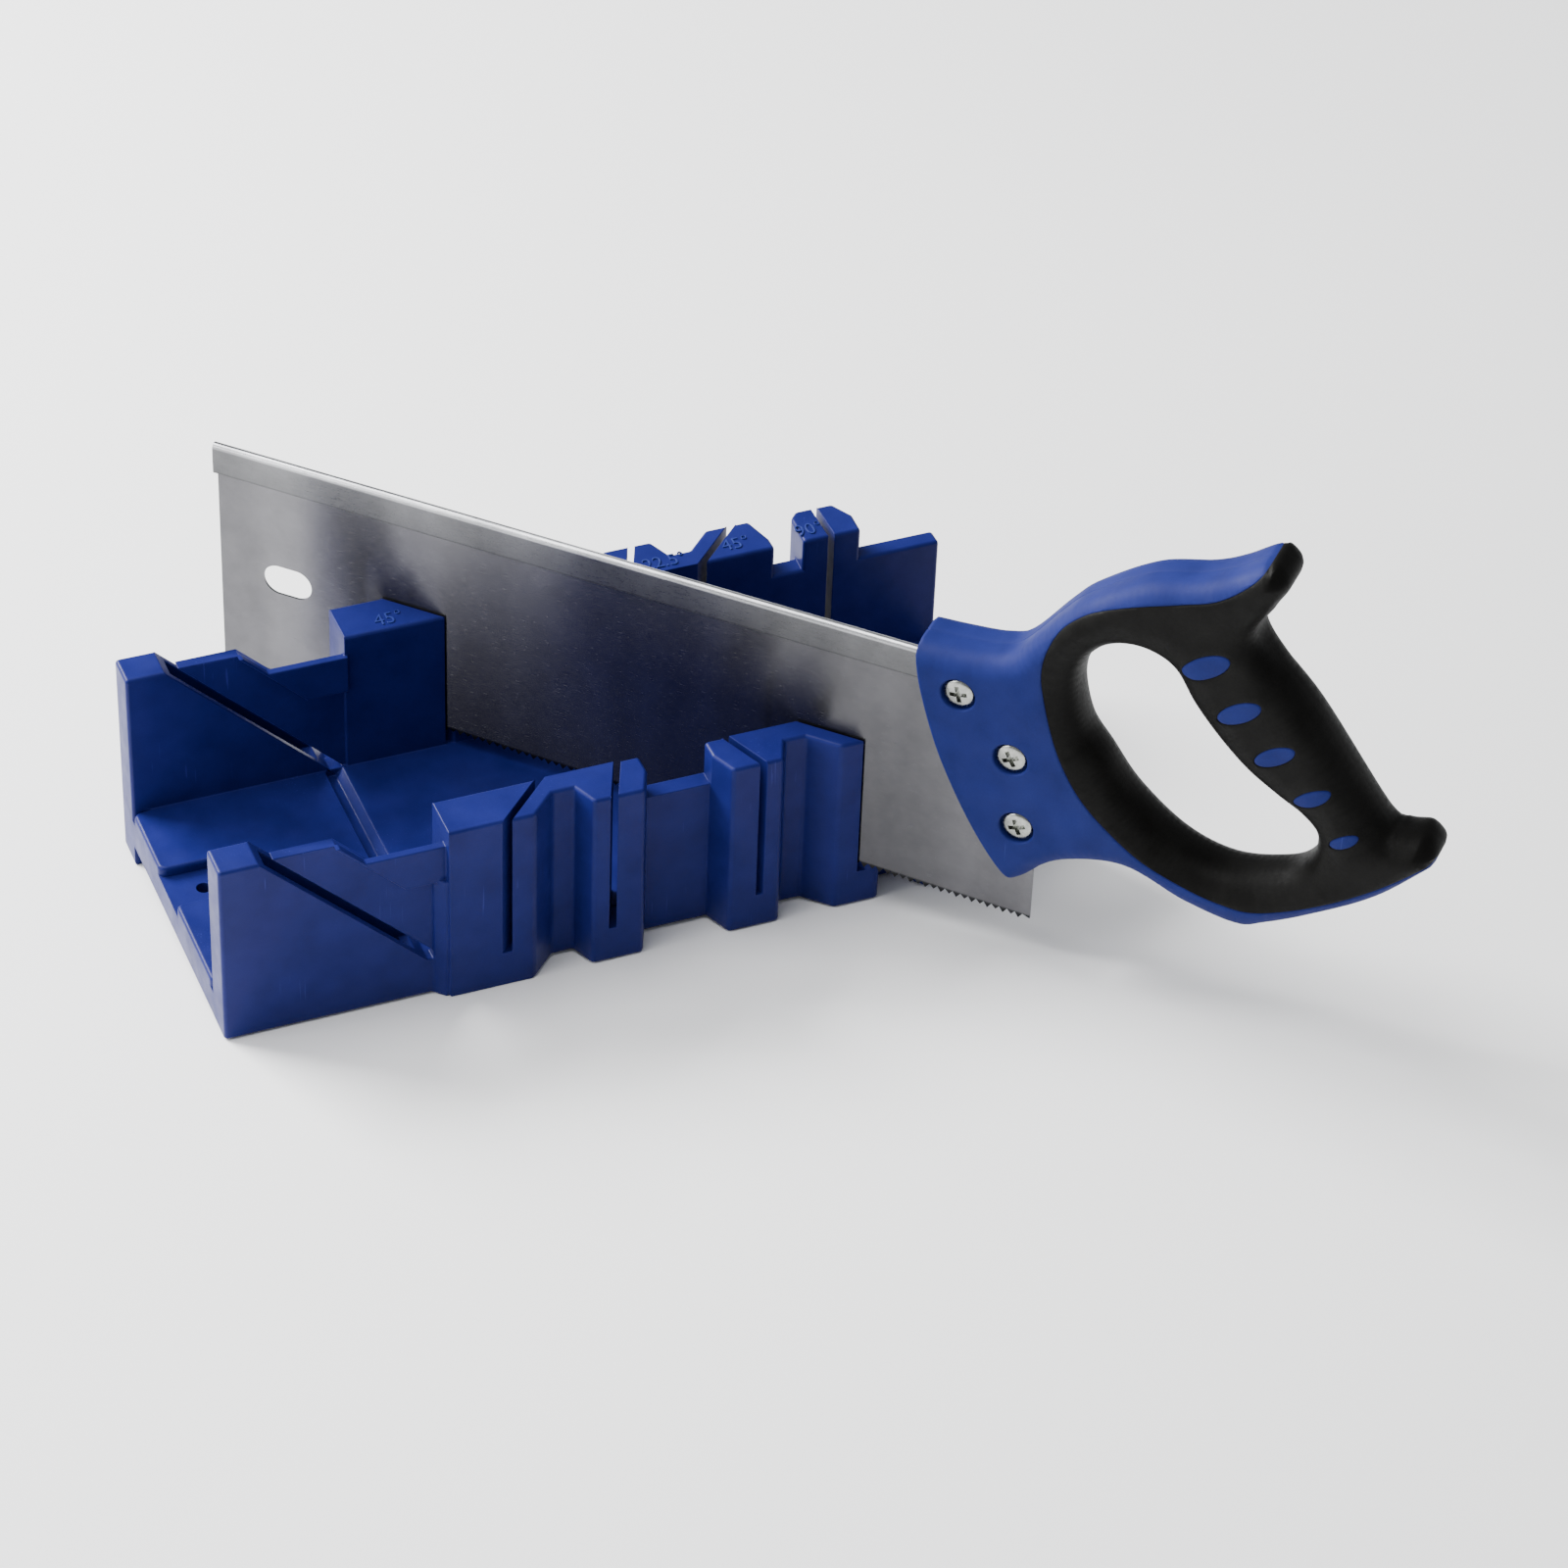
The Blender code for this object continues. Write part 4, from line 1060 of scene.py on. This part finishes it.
# --- The stage -----------------------------------------------------------------------------------
def floor():
    """A plain floor under the front edge and the hook's lip, tilted to touch both."""
    lip = -FRONT - WALL
    lean = math.atan2(-HOOK_DROP, lip - FRONT)
    shape = bmesh.new()
    count = FLOOR_SQUARES
    grid = []
    for i in range(count + 1):
        row = []
        for j in range(count + 1):
            x = (i / count - 0.5) * FLOOR_SIZE
            y = (j / count - 0.5) * FLOOR_SIZE
            row.append(shape.verts.new((x, y * math.cos(lean), y * math.sin(lean))))
        grid.append(row)
    for i in range(count):
        for j in range(count):
            shape.faces.new((grid[i][j], grid[i + 1][j], grid[i + 1][j + 1], grid[i][j + 1]))
    made = new_object("floor", shape)
    made.location = (0.0, FRONT, -FLOOR_GAP)
    finish = Finish("floor_white", Roughness=0.75)
    tone = finish.ramp(finish.grain(0.4, 2.0), [(0.3, 0.90), (0.7, 0.92)])
    made.data.materials.append(finish.paint(tone))


def panel(name, place, size, power):
    """A soft box, aimed at the middle of the box."""
    data = bpy.data.lights.new(name, "AREA")
    data.shape = "RECTANGLE"
    data.size, data.size_y = size
    data.energy = power
    made = bpy.data.objects.new(name, data)
    made.location = place
    made.rotation_euler = (Vector(LIGHT_AIM) - Vector(place)).to_track_quat("-Z", "Y").to_euler()
    bpy.context.collection.objects.link(made)


def surroundings():
    """A pale room with three soft boxes."""
    world = bpy.data.worlds.new("room")
    world.use_nodes = True
    light = world.node_tree.nodes["Background"]
    light.inputs["Color"].default_value = (0.93, 0.96, 1.0, 1.0)
    light.inputs["Strength"].default_value = 0.44
    bpy.context.scene.world = world
    panel("key_light", (-1.1, 1.3, 1.15), (1.1, 0.9), 135.0)
    panel("left_light", (-1.8, -0.1, 0.7), (1.0, 0.8), 17.0)
    panel("top_light", (-0.5, 0.1, 1.9), (1.5, 1.2), 36.0)


def camera():
    """The photo's camera, as fitted to the box's straight edges."""
    data = bpy.data.cameras.new("view")
    data.sensor_width = 36.0
    data.lens = FOCAL_LENGTH
    data.clip_start = 0.05
    made = bpy.data.objects.new("view", data)
    turn, tip, roll = (math.radians(part) for part in CAMERA_TURNS)
    ahead = Vector(
        (math.sin(turn) * math.cos(tip), math.cos(turn) * math.cos(tip), -math.sin(tip))
    )
    right = Vector((math.cos(turn), -math.sin(turn), 0.0))
    up = right.cross(ahead)
    rolled = right * math.cos(roll) + up * math.sin(roll)
    raised = up * math.cos(roll) - right * math.sin(roll)
    place = Matrix((rolled, raised, -ahead)).transposed().to_4x4()
    place.translation = CAMERA_PLACE
    made.matrix_world = place
    bpy.context.collection.objects.link(made)
    bpy.context.scene.camera = made


floor()
surroundings()
camera()
